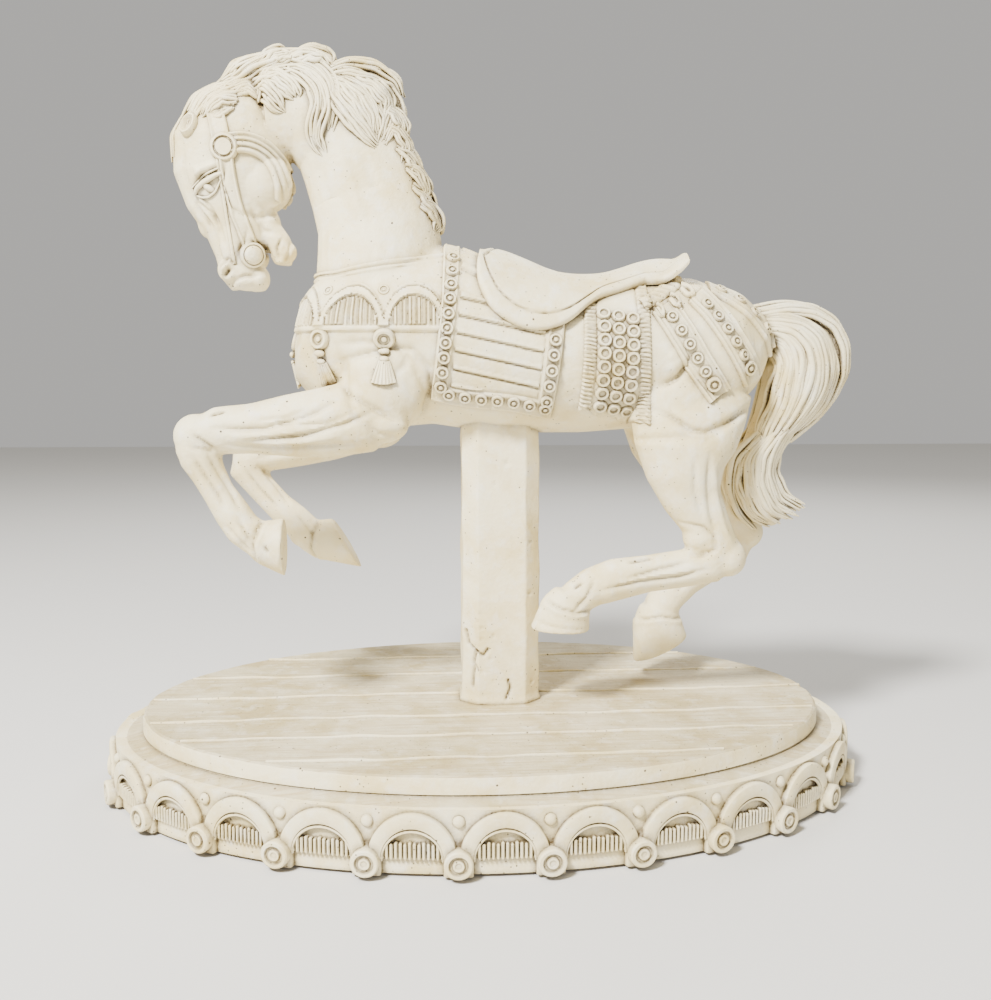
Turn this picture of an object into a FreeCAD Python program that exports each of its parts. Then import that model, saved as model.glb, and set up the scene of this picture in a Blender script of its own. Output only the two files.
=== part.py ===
"""A carousel horse statuette: cast resin castings, glued and pinned, on a column and an oval two-tier base.

The horse leaps towards -X with its near (left) side towards -Y. +Z is up, lengths are millimetres,
and the origin is the middle of the underside, at the face that rests on the table.
One threaded rod clamps the base, the column and the horse together.
The legs, the neck and the tail are separate castings on steel pins. The legs are coped to the body's sides,
and the neck and the tail meet the body at flat joints.
"""

import FreeCAD
import Part
import math
import os

Vector = FreeCAD.Vector

# Base
PLINTH_LENGTH = 342.0
PLINTH_WIDTH = 226.0
PLINTH_HEIGHT = 25.0
PLINTH_WALL = 9.0
PLINTH_ROOF = 8.0
FELT_THICKNESS = 1.5
FELT_MARGIN = 3.0
DECK_LENGTH = 318.0
DECK_WIDTH = 212.0
DECK_THICKNESS = 10.0
DECK_EDGE_ROUND = 1.5

# Arcade moulded round the plinth's wall
ARCH_COUNT = 26
ARCH_BAND = 5.5
ARCH_PROUD = 3.0
ARCH_TOP_GAP = 1.0
ROSETTE_RADIUS = 5.4
ROSETTE_PROUD = 5.5
ROSETTE_HEIGHT = 5.6
SWAG_HEIGHT = 6.5
SWAG_BOTTOM = 6.5
SWAG_PROUD = 1.2
BEAD_RADIUS = 2.4
BEAD_PROUD = 2.0
RELIEF_ROOT = 1.5

# Column
POST_X = 7.0
POST_LENGTH = 36.0
POST_DEPTH = 30.0
POST_CORNER = 7.0
POST_HEIGHT = 125.5
POST_FOOT_GROWTH = 1.5
POST_FOOT_HEIGHT = 4.0
POST_BURIED = 14.0

# Clamping rod and its hardware
ROD_RADIUS = 5.0
ROD_BOTTOM_GAP = 2.0
ROD_CLEARANCE = 0.4
BOSS_RADIUS = 26.0
BOSS_RECESS = 14.0
NUT_ACROSS_FLATS = 17.0
NUT_HEIGHT = 8.0
WASHER_RADIUS = 15.0
WASHER_THICKNESS = 2.5
THREAD_CLEARANCE = 0.05
INSERT_RADIUS = 8.0
INSERT_LENGTH = 24.0
INSERT_ABOVE_BELLY = 18.0

# Pins at the glued joints. Each leg's pin stands upright: x, distance from the middle, middle height.
LEG_PIN_RADIUS = 2.0
LEG_PIN_LENGTH = 28.0
LEG_PINS = {
    "near_foreleg_pin": (-56.0, -24.0, 15.0),
    "far_foreleg_pin": (-58.0, 20.0, 12.0),
    "near_hind_leg_pin": (90.0, -23.0, 12.0),
    "far_hind_leg_pin": (94.0, 23.0, 12.0),
}
NECK_PIN_RADIUS = 3.0
NECK_PIN_LENGTH = 36.0
NECK_PIN_SPACING = 26.0
TAIL_PIN_RADIUS = 1.5
TAIL_PIN_LENGTH = 16.0
PIN_CLEARANCE = 0.1

# Glued joints of the horse, in the horse's own heights, which start at the bottom of its belly
NECK_JOINT_X = -46.0
NECK_JOINT_Z = 76.5
NECK_JOINT_TILT = 7.4
TAIL_JOINT_X = 127.5
LOW_TAIL_TOP = 14.0
GLUE_LINE = 0.1

# Moulded tack
BLANKET_PROUD = 1.5
SADDLE_THICKNESS = 4.5
SADDLE_GAP = 0.1

# The sizes below are sections of the horse. Each row is: x, height, half depth, half width.
# The depth is measured across the section in the horse's side view, and the width along Y.
TORSO = [
    (-84.0, 50.0, 12.0, 11.0),
    (-80.0, 49.0, 25.0, 22.0),
    (-70.0, 46.0, 34.0, 28.0),
    (-48.0, 43.5, 41.0, 32.0),
    (-20.0, 45.0, 40.5, 33.0),
    (10.0, 37.5, 37.5, 34.5),
    (45.0, 34.5, 34.0, 34.5),
    (72.0, 37.0, 34.5, 34.0),
    (95.0, 39.5, 33.0, 34.0),
    (112.0, 36.0, 29.0, 30.0),
    (124.0, 33.0, 22.0, 22.0),
    (130.0, 31.0, 12.0, 12.0),
]
NECK = [
    (-48.0, 68.0, 29.0, 25.0),
    (-47.5, 82.0, 28.5, 22.5),
    (-48.5, 95.0, 27.5, 20.0),
    (-52.0, 109.0, 27.0, 18.0),
    (-58.0, 125.0, 26.0, 16.5),
    (-67.0, 138.0, 25.0, 15.5),
    (-82.0, 145.0, 23.0, 14.5),
    (-97.0, 144.0, 22.0, 14.0),
]
HEAD = [
    (-104.0, 163.0, 7.0, 6.0),
    (-107.0, 156.0, 17.0, 12.0),
    (-109.5, 145.0, 24.0, 16.0),
    (-112.0, 130.0, 26.0, 17.5),
    (-112.0, 116.0, 24.0, 16.5),
    (-111.0, 104.0, 19.5, 14.0),
    (-109.0, 91.0, 15.5, 11.5),
    (-108.5, 79.0, 11.5, 9.5),
    (-108.0, 71.0, 10.0, 9.0),
    (-107.0, 66.0, 5.5, 5.5),
]
JAW = [
    (-99.0, 97.0, 6.0, 5.5),
    (-95.0, 92.0, 7.5, 7.0),
    (-90.0, 84.0, 7.0, 6.5),
    (-87.5, 79.0, 4.0, 4.0),
]
MANE = [
    (-118.0, 150.0, 5.0, 6.0),
    (-108.0, 161.0, 8.0, 10.0),
    (-88.0, 164.0, 8.5, 13.0),
    (-66.0, 159.0, 10.0, 14.0),
    (-49.0, 150.0, 12.0, 13.0),
    (-41.0, 135.0, 8.0, 10.0),
    (-34.0, 119.0, 6.5, 8.0),
    (-27.0, 103.0, 5.5, 6.5),
    (-22.0, 92.0, 4.0, 4.5),
]
# Legs: the fifth number is the section's distance from the horse's middle plane.
NEAR_FORELEG = [
    (-40.0, 16.0, 10.0, 9.0, 22.0),
    (-55.0, 9.0, 16.5, 13.0, 26.0),
    (-72.0, 6.0, 16.0, 13.0, 27.5),
    (-88.0, 5.0, 14.0, 11.5, 28.0),
    (-103.0, 4.0, 11.5, 10.0, 28.0),
    (-117.0, 2.5, 10.5, 9.0, 28.0),
    (-127.0, -1.5, 10.0, 9.0, 28.0),
    (-125.5, -9.0, 9.5, 8.5, 28.0),
    (-122.0, -16.0, 8.0, 7.0, 28.0),
    (-118.0, -24.0, 7.5, 6.5, 28.0),
    (-112.5, -33.0, 8.5, 7.5, 28.0),
    (-108.0, -40.0, 8.5, 8.0, 28.0),
    (-102.0, -44.5, 9.0, 8.0, 28.0),
]
NEAR_FORE_HOOF = [
    (-103.0, -43.5, 8.5, 7.5, 28.0),
    (-99.0, -45.0, 10.5, 9.0, 28.0),
    (-90.0, -48.5, 13.5, 11.0, 28.0),
]
FAR_FORELEG = [
    (-45.0, 14.0, 12.0, 11.0, 20.0),
    (-60.0, 6.0, 16.0, 14.0, 24.0),
    (-76.0, -1.5, 13.5, 12.0, 28.0),
    (-90.0, -5.5, 12.0, 11.0, 28.0),
    (-103.0, -8.5, 11.0, 10.0, 28.0),
    (-113.0, -11.5, 10.5, 9.0, 28.0),
    (-115.0, -18.0, 9.5, 8.5, 28.0),
    (-108.0, -27.0, 7.5, 7.0, 28.0),
    (-100.0, -36.0, 7.5, 6.5, 28.0),
    (-92.5, -43.0, 8.5, 7.5, 28.0),
    (-86.0, -49.0, 8.0, 7.5, 28.0),
    (-82.0, -52.5, 8.0, 7.5, 28.0),
]
FAR_FORE_HOOF = [
    (-84.5, -52.5, 8.0, 7.5, 28.0),
    (-79.0, -53.5, 10.5, 9.0, 28.0),
    (-66.0, -55.5, 13.5, 11.0, 28.0),
]
NEAR_HIND_LEG = [
    (93.0, 22.0, 29.0, 12.0, 20.0),
    (91.0, 8.0, 27.0, 15.5, 22.0),
    (89.5, -5.0, 23.5, 15.5, 24.0),
    (89.5, -17.0, 18.0, 13.5, 25.0),
    (93.0, -29.0, 14.0, 11.5, 25.0),
    (99.5, -40.0, 11.5, 9.5, 25.0),
    (105.0, -50.0, 10.5, 9.0, 25.0),
    (101.0, -59.0, 10.0, 8.5, 25.0),
    (88.0, -61.0, 9.5, 8.0, 25.0),
    (73.0, -63.0, 9.5, 8.0, 25.0),
    (58.0, -65.5, 10.5, 8.5, 25.0),
    (47.0, -69.0, 9.5, 8.5, 25.0),
    (38.0, -75.0, 9.0, 8.5, 25.0),
]
NEAR_HIND_HOOF = [
    (38.0, -73.0, 9.5, 8.5, 25.0),
    (36.0, -78.0, 11.0, 10.0, 25.0),
    (33.0, -87.0, 13.0, 11.5, 25.0),
]
FAR_HIND_LEG = [
    (95.0, 22.0, 29.0, 12.0, 20.0),
    (95.0, 8.0, 26.5, 15.5, 22.0),
    (97.0, -5.0, 22.5, 15.5, 24.0),
    (102.0, -17.0, 18.0, 13.5, 25.0),
    (110.0, -29.0, 14.5, 11.5, 25.0),
    (119.0, -40.0, 12.0, 9.5, 25.0),
    (128.0, -51.0, 11.0, 9.0, 25.0),
    (125.0, -60.0, 10.5, 8.5, 25.0),
    (115.0, -67.0, 9.5, 8.0, 25.0),
    (104.0, -75.0, 9.5, 8.0, 25.0),
    (95.0, -83.0, 10.0, 8.5, 25.0),
    (90.0, -91.0, 9.5, 8.5, 25.0),
]
FAR_HIND_HOOF = [
    (90.5, -90.0, 10.0, 8.5, 25.0),
    (90.5, -96.0, 11.5, 10.0, 25.0),
    (91.5, -109.0, 14.5, 11.5, 25.0),
]
TAIL = [
    (118.0, 51.0, 7.0, 7.0),
    (128.0, 51.5, 9.0, 9.0),
    (139.0, 49.0, 12.0, 12.0),
    (148.0, 42.0, 16.5, 15.0),
    (151.0, 30.0, 20.0, 16.0),
    (147.0, 16.0, 18.0, 15.0),
    (138.0, 4.0, 14.0, 13.0),
    (132.0, -6.0, 12.0, 11.0),
    (129.0, -16.0, 11.5, 10.0),
    (129.0, -28.0, 13.5, 10.0),
    (134.0, -38.0, 13.5, 9.0),
    (140.0, -45.0, 8.0, 6.0),
]
# The saddle's sections are taken across the back: x, height of its crown above the belly, half width.
SADDLE = [
    (-7.0, 80.0, 20.0),
    (-3.0, 83.0, 30.0),
    (4.0, 85.0, 36.0),
    (18.0, 79.5, 38.5),
    (38.0, 73.0, 39.0),
    (55.0, 74.0, 39.0),
    (70.0, 79.0, 38.5),
    (82.0, 81.0, 36.0),
    (90.0, 79.0, 26.0),
]
SADDLE_FLAP = [
    (-6.0, 90.0), (-5.0, 70.0), (-3.5, 61.0), (0.0, 54.7), (6.5, 49.5), (13.0, 46.7), (21.0, 45.5),
    (29.0, 46.5), (36.0, 50.0), (43.0, 55.5), (50.0, 59.5), (69.0, 65.5), (82.0, 73.0), (92.0, 78.0), (92.0, 90.0),
]
BLANKET = [(-18.5, 90.0), (-25.0, 16.5), (28.5, 7.5), (36.0, 90.0)]
SIDE_PANEL = [(41.5, 90.0), (40.0, 11.5), (72.0, 4.0), (72.0, 90.0)]
BREAST_COLLAR = [(-90.0, 71.0), (-90.0, 43.0), (-23.5, 47.0), (-19.0, 90.0), (-60.0, 90.0)]


def section(middle, half_depth, half_width, along):
    """A closed, smooth oval across a limb that runs in the direction along, in the XZ plane."""
    across = Vector(-along.z, 0, along.x)
    points = []
    for k in range(12):
        t = 2 * math.pi * k / 12
        points.append(middle + across * (half_depth * math.cos(t)) + Vector(0, half_width * math.sin(t), 0))
    curve = Part.BSplineCurve()
    curve.interpolate(Points=points, PeriodicFlag=True)
    return Part.Wire([curve.toShape()])


def limb(rows, side=0, grow=0.0):
    """A solid through oval sections. side is -1 for the near side, 1 for the far one, and 0 for the middle."""
    z0 = belly_height()
    wires = []
    for i, row in enumerate(rows):
        before, after = rows[max(i - 1, 0)], rows[min(i + 1, len(rows) - 1)]
        along = Vector(after[0] - before[0], 0, after[1] - before[1]).normalize()
        middle = Vector(row[0], side * row[4] if side else 0.0, row[1] + z0)
        if i in (0, len(rows) - 1):
            middle += along * (grow if i else -grow)
        wires.append(section(middle, row[2] + grow, row[3] + grow, along))
    solid = Part.makeLoft(wires, True, False)
    if solid.Volume < 0:
        solid.reverse()
    return solid


def belly_height():
    return FELT_THICKNESS + PLINTH_HEIGHT + DECK_THICKNESS + POST_HEIGHT


def deck_top():
    return FELT_THICKNESS + PLINTH_HEIGHT + DECK_THICKNESS


def profile_prism(points, half_width=70.0):
    """A side-view outline in the horse's own heights, pushed through the whole width of the horse."""
    z0 = belly_height()
    corners = [Vector(x, -half_width, z + z0) for x, z in points]
    face = Part.Face(Part.makePolygon(corners + corners[:1]))
    return face.extrude(Vector(0, 2 * half_width, 0))


def oval_prism(length, width, z_low, height):
    ellipse = Part.Ellipse(Vector(0, 0, z_low), length / 2, width / 2)
    return Part.Face(Part.Wire([ellipse.toShape()])).extrude(Vector(0, 0, height))


def cylinder(radius, length, base, direction=Vector(0, 0, 1)):
    return Part.makeCylinder(radius, length, base, direction)


def oval_stations(length, width, count, phase):
    """Points spaced evenly by arc length round an oval, each with its outward direction."""
    a, b = length / 2, width / 2
    steps = 3600
    walked = [0.0]
    for k in range(steps):
        t0, t1 = 2 * math.pi * k / steps, 2 * math.pi * (k + 1) / steps
        walked.append(
            walked[-1] + math.hypot(a * (math.cos(t1) - math.cos(t0)), b * (math.sin(t1) - math.sin(t0)))
        )
    stations = []
    for i in range(count):
        goal = walked[-1] * ((i + phase) % count) / count
        k = next(k for k, w in enumerate(walked) if w >= goal)
        t = 2 * math.pi * k / steps
        outward = Vector(b * math.cos(t), a * math.sin(t), 0).normalize()
        stations.append((Vector(a * math.cos(t), b * math.sin(t), 0), outward))
    return stations, walked[-1] / count


def wall_band(proud):
    """The wall of the plinth thickened outwards, from which flat-faced relief is cut."""
    outer = oval_prism(PLINTH_LENGTH + 2 * proud, PLINTH_WIDTH + 2 * proud, FELT_THICKNESS, PLINTH_HEIGHT)
    inner = oval_prism(
        PLINTH_LENGTH - 2 * RELIEF_ROOT, PLINTH_WIDTH - 2 * RELIEF_ROOT, FELT_THICKNESS, PLINTH_HEIGHT
    )
    return outer.cut(inner)


def arch_face(point, outward, half_pitch, springing, top):
    """One arch: a raised band between two half ovals on short straight feet."""
    sideways = Vector(-outward.y, outward.x, 0)
    rise = top - springing

    def outline(half_width, height):
        edge = [point + sideways * half_width + Vector(0, 0, FELT_THICKNESS)]
        for k in range(13):
            t = math.pi * k / 12
            edge.append(
                point + sideways * (half_width * math.cos(t)) + Vector(0, 0, springing + height * math.sin(t))
            )
        edge.append(point - sideways * half_width + Vector(0, 0, FELT_THICKNESS))
        return Part.Face(Part.makePolygon(edge + edge[:1]))

    return outline(half_pitch, rise).cut(outline(half_pitch - ARCH_BAND, rise - ARCH_BAND))


def make_plinth():
    body = oval_prism(PLINTH_LENGTH, PLINTH_WIDTH, FELT_THICKNESS, PLINTH_HEIGHT)
    hollow = oval_prism(
        PLINTH_LENGTH - 2 * PLINTH_WALL,
        PLINTH_WIDTH - 2 * PLINTH_WALL,
        FELT_THICKNESS,
        PLINTH_HEIGHT - PLINTH_ROOF,
    )
    boss_height = PLINTH_HEIGHT - BOSS_RECESS
    boss = cylinder(BOSS_RADIUS, boss_height, Vector(POST_X, 0, FELT_THICKNESS + BOSS_RECESS))
    body = body.cut(hollow).fuse(boss)
    springing = FELT_THICKNESS + ROSETTE_HEIGHT
    arch_top = FELT_THICKNESS + PLINTH_HEIGHT - ARCH_TOP_GAP
    feet, pitch = oval_stations(PLINTH_LENGTH, PLINTH_WIDTH, ARCH_COUNT, 0.0)
    crowns, pitch = oval_stations(PLINTH_LENGTH, PLINTH_WIDTH, ARCH_COUNT, 0.5)
    arch_band, swag_band = wall_band(ARCH_PROUD), wall_band(SWAG_PROUD)
    relief = []
    for point, outward in crowns:
        back = point - outward * PLINTH_WALL
        prism = arch_face(back, outward, pitch / 2, springing, arch_top).extrude(outward * 2 * PLINTH_WALL)
        relief.append(prism.common(arch_band))
        sideways = Vector(-outward.y, outward.x, 0)
        half = pitch / 2 - ARCH_BAND / 2
        low = FELT_THICKNESS + SWAG_BOTTOM
        corners = [
            back + sideways * s * half + Vector(0, 0, z)
            for s, z in ((-1, low), (1, low), (1, low + SWAG_HEIGHT), (-1, low + SWAG_HEIGHT))
        ]
        swag = Part.Face(Part.makePolygon(corners + corners[:1])).extrude(outward * 2 * PLINTH_WALL)
        relief.append(swag.common(swag_band))
    for point, outward in feet:
        root = point - outward * RELIEF_ROOT
        rosette_base = root + Vector(0, 0, FELT_THICKNESS + ROSETTE_HEIGHT)
        relief.append(cylinder(ROSETTE_RADIUS, RELIEF_ROOT + ROSETTE_PROUD, rosette_base, outward))
        bead_base = root + Vector(0, 0, arch_top - BEAD_RADIUS)
        relief.append(cylinder(BEAD_RADIUS, RELIEF_ROOT + BEAD_PROUD, bead_base, outward))
    body = body.multiFuse(relief).removeSplitter()
    return body.cut(rod_bore())


def rod_bore():
    return cylinder(ROD_RADIUS + ROD_CLEARANCE, insert_bottom(), Vector(POST_X, 0, 0))


def insert_bottom():
    return belly_height() + INSERT_ABOVE_BELLY


def make_deck():
    deck = oval_prism(DECK_LENGTH, DECK_WIDTH, FELT_THICKNESS + PLINTH_HEIGHT, DECK_THICKNESS)
    rim = [e for e in deck.Edges if abs(e.BoundBox.ZMin - deck_top()) < 1e-6 and e.BoundBox.ZLength < 1e-6]
    return deck.makeFillet(min(DECK_EDGE_ROUND, DECK_THICKNESS / 3), rim).cut(rod_bore())


def column_outline(growth, z):
    """The column's section: an oblong with its four corners cut off."""
    half_x, half_y = POST_LENGTH / 2 + growth, POST_DEPTH / 2 + growth
    corner = POST_CORNER
    corners = [
        (half_x, half_y - corner), (half_x - corner, half_y), (corner - half_x, half_y), (-half_x, half_y - corner),
        (-half_x, corner - half_y), (corner - half_x, -half_y), (half_x - corner, -half_y), (half_x, corner - half_y),
    ]
    points = [Vector(POST_X + x, y, z) for x, y in corners]
    return Part.makePolygon(points + points[:1])


def make_post(torso):
    column = Part.Face(column_outline(0.0, deck_top())).extrude(Vector(0, 0, POST_HEIGHT + POST_BURIED))
    foot = Part.makeLoft(
        [column_outline(POST_FOOT_GROWTH, deck_top()), column_outline(0.0, deck_top() + POST_FOOT_HEIGHT)], True, True
    )
    return column.fuse(foot).removeSplitter().cut(torso).cut(rod_bore())


def half_space(point, normal):
    """A block that fills the side of a plane that normal points to."""
    size = 600.0
    block = Part.makeBox(size, size, size, Vector(-size / 2, -size / 2, 0))
    block.Placement = FreeCAD.Placement(point, FreeCAD.Rotation(Vector(0, 0, 1), normal))
    return block


def neck_normal():
    tilt = math.radians(NECK_JOINT_TILT)
    return Vector(-math.sin(tilt), 0, math.cos(tilt))


def neck_point():
    return Vector(NECK_JOINT_X, 0, NECK_JOINT_Z + belly_height())


def pin_at(centre, direction, radius, length):
    return cylinder(radius, length, centre - direction * (length / 2), direction)


def make_pins():
    pins = {}
    for name, (x, y, height) in LEG_PINS.items():
        centre = Vector(x, y, height + belly_height())
        pins[name] = (centre, Vector(0, 0, 1), LEG_PIN_RADIUS, LEG_PIN_LENGTH)
    along = Vector(math.cos(math.radians(NECK_JOINT_TILT)), 0, math.sin(math.radians(NECK_JOINT_TILT)))
    for name, way in (("neck_pin_front", -1), ("neck_pin_rear", 1)):
        centre = neck_point() + along * (way * NECK_PIN_SPACING / 2)
        pins[name] = (centre, neck_normal(), NECK_PIN_RADIUS, NECK_PIN_LENGTH)
    tail_centre = Vector(TAIL_JOINT_X, 0, TAIL[1][1] + belly_height())
    pins["tail_pin"] = (tail_centre, Vector(1, 0, 0), TAIL_PIN_RADIUS, TAIL_PIN_LENGTH)
    return pins


def drill(solid, pins):
    """Cuts the hole of every pin that enters this casting."""
    for centre, direction, radius, length in pins.values():
        solid = solid.cut(pin_at(centre, direction, radius + PIN_CLEARANCE, length + 2 * PIN_CLEARANCE))
    return solid


def make_leg(leg_rows, hoof_rows, side, torso):
    """A leg whose root is coped to the body's side, a glue line clear of it."""
    leg = limb(leg_rows, side).fuse(limb(hoof_rows, side))
    leg = leg.cut(limb(TORSO, grow=GLUE_LINE)).cut(torso)
    return max(leg.Solids, key=lambda solid: solid.Volume)


def make_torso():
    outlines = profile_prism(BLANKET).multiFuse([profile_prism(SIDE_PANEL), profile_prism(BREAST_COLLAR)])
    tack = limb(TORSO, grow=BLANKET_PROUD).common(outlines.removeSplitter())
    torso = limb(TORSO).multiFuse([limb(NECK[:4]), tack])
    above_neck_joint = half_space(neck_point(), neck_normal())
    above_neck_joint = above_neck_joint.common(half_space(Vector(BLANKET[0][0], 0, 0), Vector(-1, 0, 0)))
    torso = torso.cut(above_neck_joint)
    behind_tail_joint = half_space(Vector(TAIL_JOINT_X, 0, 0), Vector(1, 0, 0))
    return torso.cut(behind_tail_joint)


def drill_torso(torso, pins):
    insert_hole = cylinder(INSERT_RADIUS, INSERT_LENGTH, Vector(POST_X, 0, insert_bottom()))
    return drill(torso, pins).cut(rod_bore()).cut(insert_hole)


def make_neck_and_head():
    neck = limb(NECK).multiFuse([limb(HEAD), limb(JAW), limb(MANE)])
    point = neck_point() + neck_normal() * GLUE_LINE
    return neck.common(half_space(point, neck_normal()))


def make_tail(torso):
    tail = limb(TAIL).common(half_space(Vector(TAIL_JOINT_X + GLUE_LINE, 0, 0), Vector(1, 0, 0)))
    low_tail = limb(TAIL).common(half_space(Vector(0, 0, belly_height() + LOW_TAIL_TOP), Vector(0, 0, -1)))
    return tail.fuse(low_tail).cut(torso)


def make_saddle(torso):
    z0 = belly_height()
    wires = []
    foot = SADDLE_FLAP[6][1] - 8.0
    for x, crown, half_width in SADDLE:
        depth = crown - foot
        points = []
        for k in range(9):
            t = math.pi * k / 8
            points.append(Vector(x, half_width * math.cos(t), foot + z0 + depth * math.sin(t)))
        curve = Part.BSplineCurve()
        curve.interpolate(Points=points)
        wires.append(Part.Wire([curve.toShape(), Part.makeLine(points[-1], points[0])]))
    shell = Part.makeLoft(wires, True, False)
    shell = shell.common(profile_prism(SADDLE_FLAP))
    seat_side = limb(TORSO, grow=BLANKET_PROUD + SADDLE_GAP)
    return shell.cut(seat_side).cut(torso)


def hexagon_nut(z_low):
    radius = NUT_ACROSS_FLATS / math.sqrt(3)
    points = [
        Vector(POST_X + radius * math.cos(math.pi * k / 3), radius * math.sin(math.pi * k / 3), z_low)
        for k in range(6)
    ]
    nut = Part.Face(Part.makePolygon(points + points[:1])).extrude(Vector(0, 0, NUT_HEIGHT))
    return nut.cut(cylinder(ROD_RADIUS + THREAD_CLEARANCE, NUT_HEIGHT, Vector(POST_X, 0, z_low)))


def make_hardware():
    boss_face = FELT_THICKNESS + BOSS_RECESS
    washer_low = boss_face - WASHER_THICKNESS
    rod_low = FELT_THICKNESS + ROD_BOTTOM_GAP
    axis_foot = Vector(POST_X, 0, washer_low)
    washer = cylinder(WASHER_RADIUS, WASHER_THICKNESS, axis_foot)
    washer = washer.cut(cylinder(ROD_RADIUS + ROD_CLEARANCE, WASHER_THICKNESS, axis_foot))
    insert = cylinder(INSERT_RADIUS, INSERT_LENGTH, Vector(POST_X, 0, insert_bottom()))
    insert = insert.cut(
        cylinder(ROD_RADIUS + THREAD_CLEARANCE, INSERT_LENGTH, Vector(POST_X, 0, insert_bottom()))
    )
    rod_top = insert_bottom() + INSERT_LENGTH
    return {
        "threaded_rod": cylinder(ROD_RADIUS, rod_top - rod_low, Vector(POST_X, 0, rod_low)),
        "rod_nut": hexagon_nut(washer_low - NUT_HEIGHT),
        "rod_washer": washer,
        "body_insert": insert,
    }


def main():
    pins = make_pins()
    torso = make_torso()
    parts = {
        "base_felt": oval_prism(
            PLINTH_LENGTH - 2 * FELT_MARGIN, PLINTH_WIDTH - 2 * FELT_MARGIN, 0.0, FELT_THICKNESS
        ),
        "plinth": make_plinth(),
        "deck": make_deck(),
        "post": make_post(torso),
        "saddle": make_saddle(torso),
        "neck_and_head": drill(make_neck_and_head(), pins),
        "tail": drill(make_tail(torso), pins),
        "near_foreleg": drill(make_leg(NEAR_FORELEG, NEAR_FORE_HOOF, -1, torso), pins),
        "far_foreleg": drill(make_leg(FAR_FORELEG, FAR_FORE_HOOF, 1, torso), pins),
        "near_hind_leg": drill(make_leg(NEAR_HIND_LEG, NEAR_HIND_HOOF, -1, torso), pins),
        "far_hind_leg": drill(make_leg(FAR_HIND_LEG, FAR_HIND_HOOF, 1, torso), pins),
        "torso": drill_torso(torso, pins),
    }
    parts.update(make_hardware())
    for name, (centre, direction, radius, length) in pins.items():
        parts[name] = pin_at(centre, direction, radius, length)
    os.makedirs("parts", exist_ok=True)
    for name, shape in parts.items():
        solids = shape.Solids
        good = all(s.isValid() and s.Volume > 0 for s in solids)
        print(f"{name:20s} solids {len(solids)} valid {good} volume {shape.Volume / 1000:9.2f} cm3")
        shape.exportStep(f"parts/{name}.step")


main()
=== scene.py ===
"""The looks of a carousel horse statuette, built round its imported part.

The horse leaps towards -X and shows its near side to -Y. Lengths are written in millimetres,
and a height h is measured up from the bottom of the horse's belly.
"""
import math
import random

import bmesh
import bpy
import numpy as np
from mathutils import Matrix, Vector
from mathutils.bvhtree import BVHTree


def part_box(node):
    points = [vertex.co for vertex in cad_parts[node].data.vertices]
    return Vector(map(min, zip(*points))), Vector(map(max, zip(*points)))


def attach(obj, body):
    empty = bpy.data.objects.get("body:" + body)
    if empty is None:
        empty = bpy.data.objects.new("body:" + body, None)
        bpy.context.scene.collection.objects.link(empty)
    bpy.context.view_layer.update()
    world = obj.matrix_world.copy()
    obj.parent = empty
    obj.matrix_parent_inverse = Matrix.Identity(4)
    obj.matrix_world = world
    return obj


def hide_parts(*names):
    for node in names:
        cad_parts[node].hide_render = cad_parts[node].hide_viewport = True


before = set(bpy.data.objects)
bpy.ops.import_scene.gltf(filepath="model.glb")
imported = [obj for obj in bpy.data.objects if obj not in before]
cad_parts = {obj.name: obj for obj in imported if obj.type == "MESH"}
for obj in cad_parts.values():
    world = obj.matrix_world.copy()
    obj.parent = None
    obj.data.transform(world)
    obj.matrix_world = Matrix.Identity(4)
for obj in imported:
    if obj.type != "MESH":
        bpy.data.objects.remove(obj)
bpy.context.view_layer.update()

MM = 0.001
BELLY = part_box("body_insert")[0].z - 18 * MM
DECK_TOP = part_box("deck")[1].z
PLINTH_LOW, PLINTH_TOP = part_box("plinth")[0].z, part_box("deck")[0].z
chance = random.Random(7)


# ---------------------------------------------------------------- handling

def at(x, y, h):
    """A point of the horse in metres."""
    return Vector((x * MM, y * MM, BELLY + h * MM))


def select_only(*objects):
    bpy.ops.object.select_all(action="DESELECT")
    for o in objects:
        o.select_set(True)
    bpy.context.view_layer.objects.active = objects[0]


def join(name, objects):
    select_only(*objects)
    if len(objects) > 1:
        bpy.ops.object.join()
    made = bpy.context.active_object
    made.name = name
    return made


def settle(obj, scale=None):
    """Puts the object's place, turn and stretch into its mesh."""
    if scale:
        obj.scale = scale
    select_only(obj)
    bpy.ops.object.transform_apply(location=True, rotation=True, scale=True)
    return obj


def settle_new(scale=None):
    """Settles the primitive that was added last."""
    return settle(bpy.context.active_object, scale)


def copy_of(obj):
    select_only(obj)
    bpy.ops.object.duplicate()
    return bpy.context.active_object


def remove(*objects):
    for obj in objects:
        bpy.data.objects.remove(obj)


def modify(obj, kind, **settings):
    """Adds one modifier and applies it."""
    select_only(obj)
    modifier = obj.modifiers.new(kind.title(), kind)
    for key, value in settings.items():
        setattr(modifier, key, value)
    bpy.ops.object.modifier_apply(modifier=modifier.name)
    return obj


def edit(obj, *steps):
    """Runs edit-mode steps with the whole mesh selected."""
    select_only(obj)
    bpy.ops.object.mode_set(mode="EDIT")
    bpy.ops.mesh.select_all(action="SELECT")
    for step in steps:
        step()
    bpy.ops.object.mode_set(mode="OBJECT")
    return obj


def clean(obj):
    return edit(obj, lambda: bpy.ops.mesh.remove_doubles(threshold=1e-6),
                lambda: bpy.ops.mesh.normals_make_consistent(inside=False))


def points_of(obj):
    co = np.empty(len(obj.data.vertices) * 3)
    obj.data.vertices.foreach_get("co", co)
    return co.reshape(-1, 3)


def normals_of(obj):
    out = np.empty(len(obj.data.vertices) * 3)
    obj.data.vertex_normals.foreach_get("vector", out)
    return out.reshape(-1, 3)


def set_points(obj, co):
    obj.data.vertices.foreach_set("co", np.ascontiguousarray(co, float).ravel())
    obj.data.update()


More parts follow.
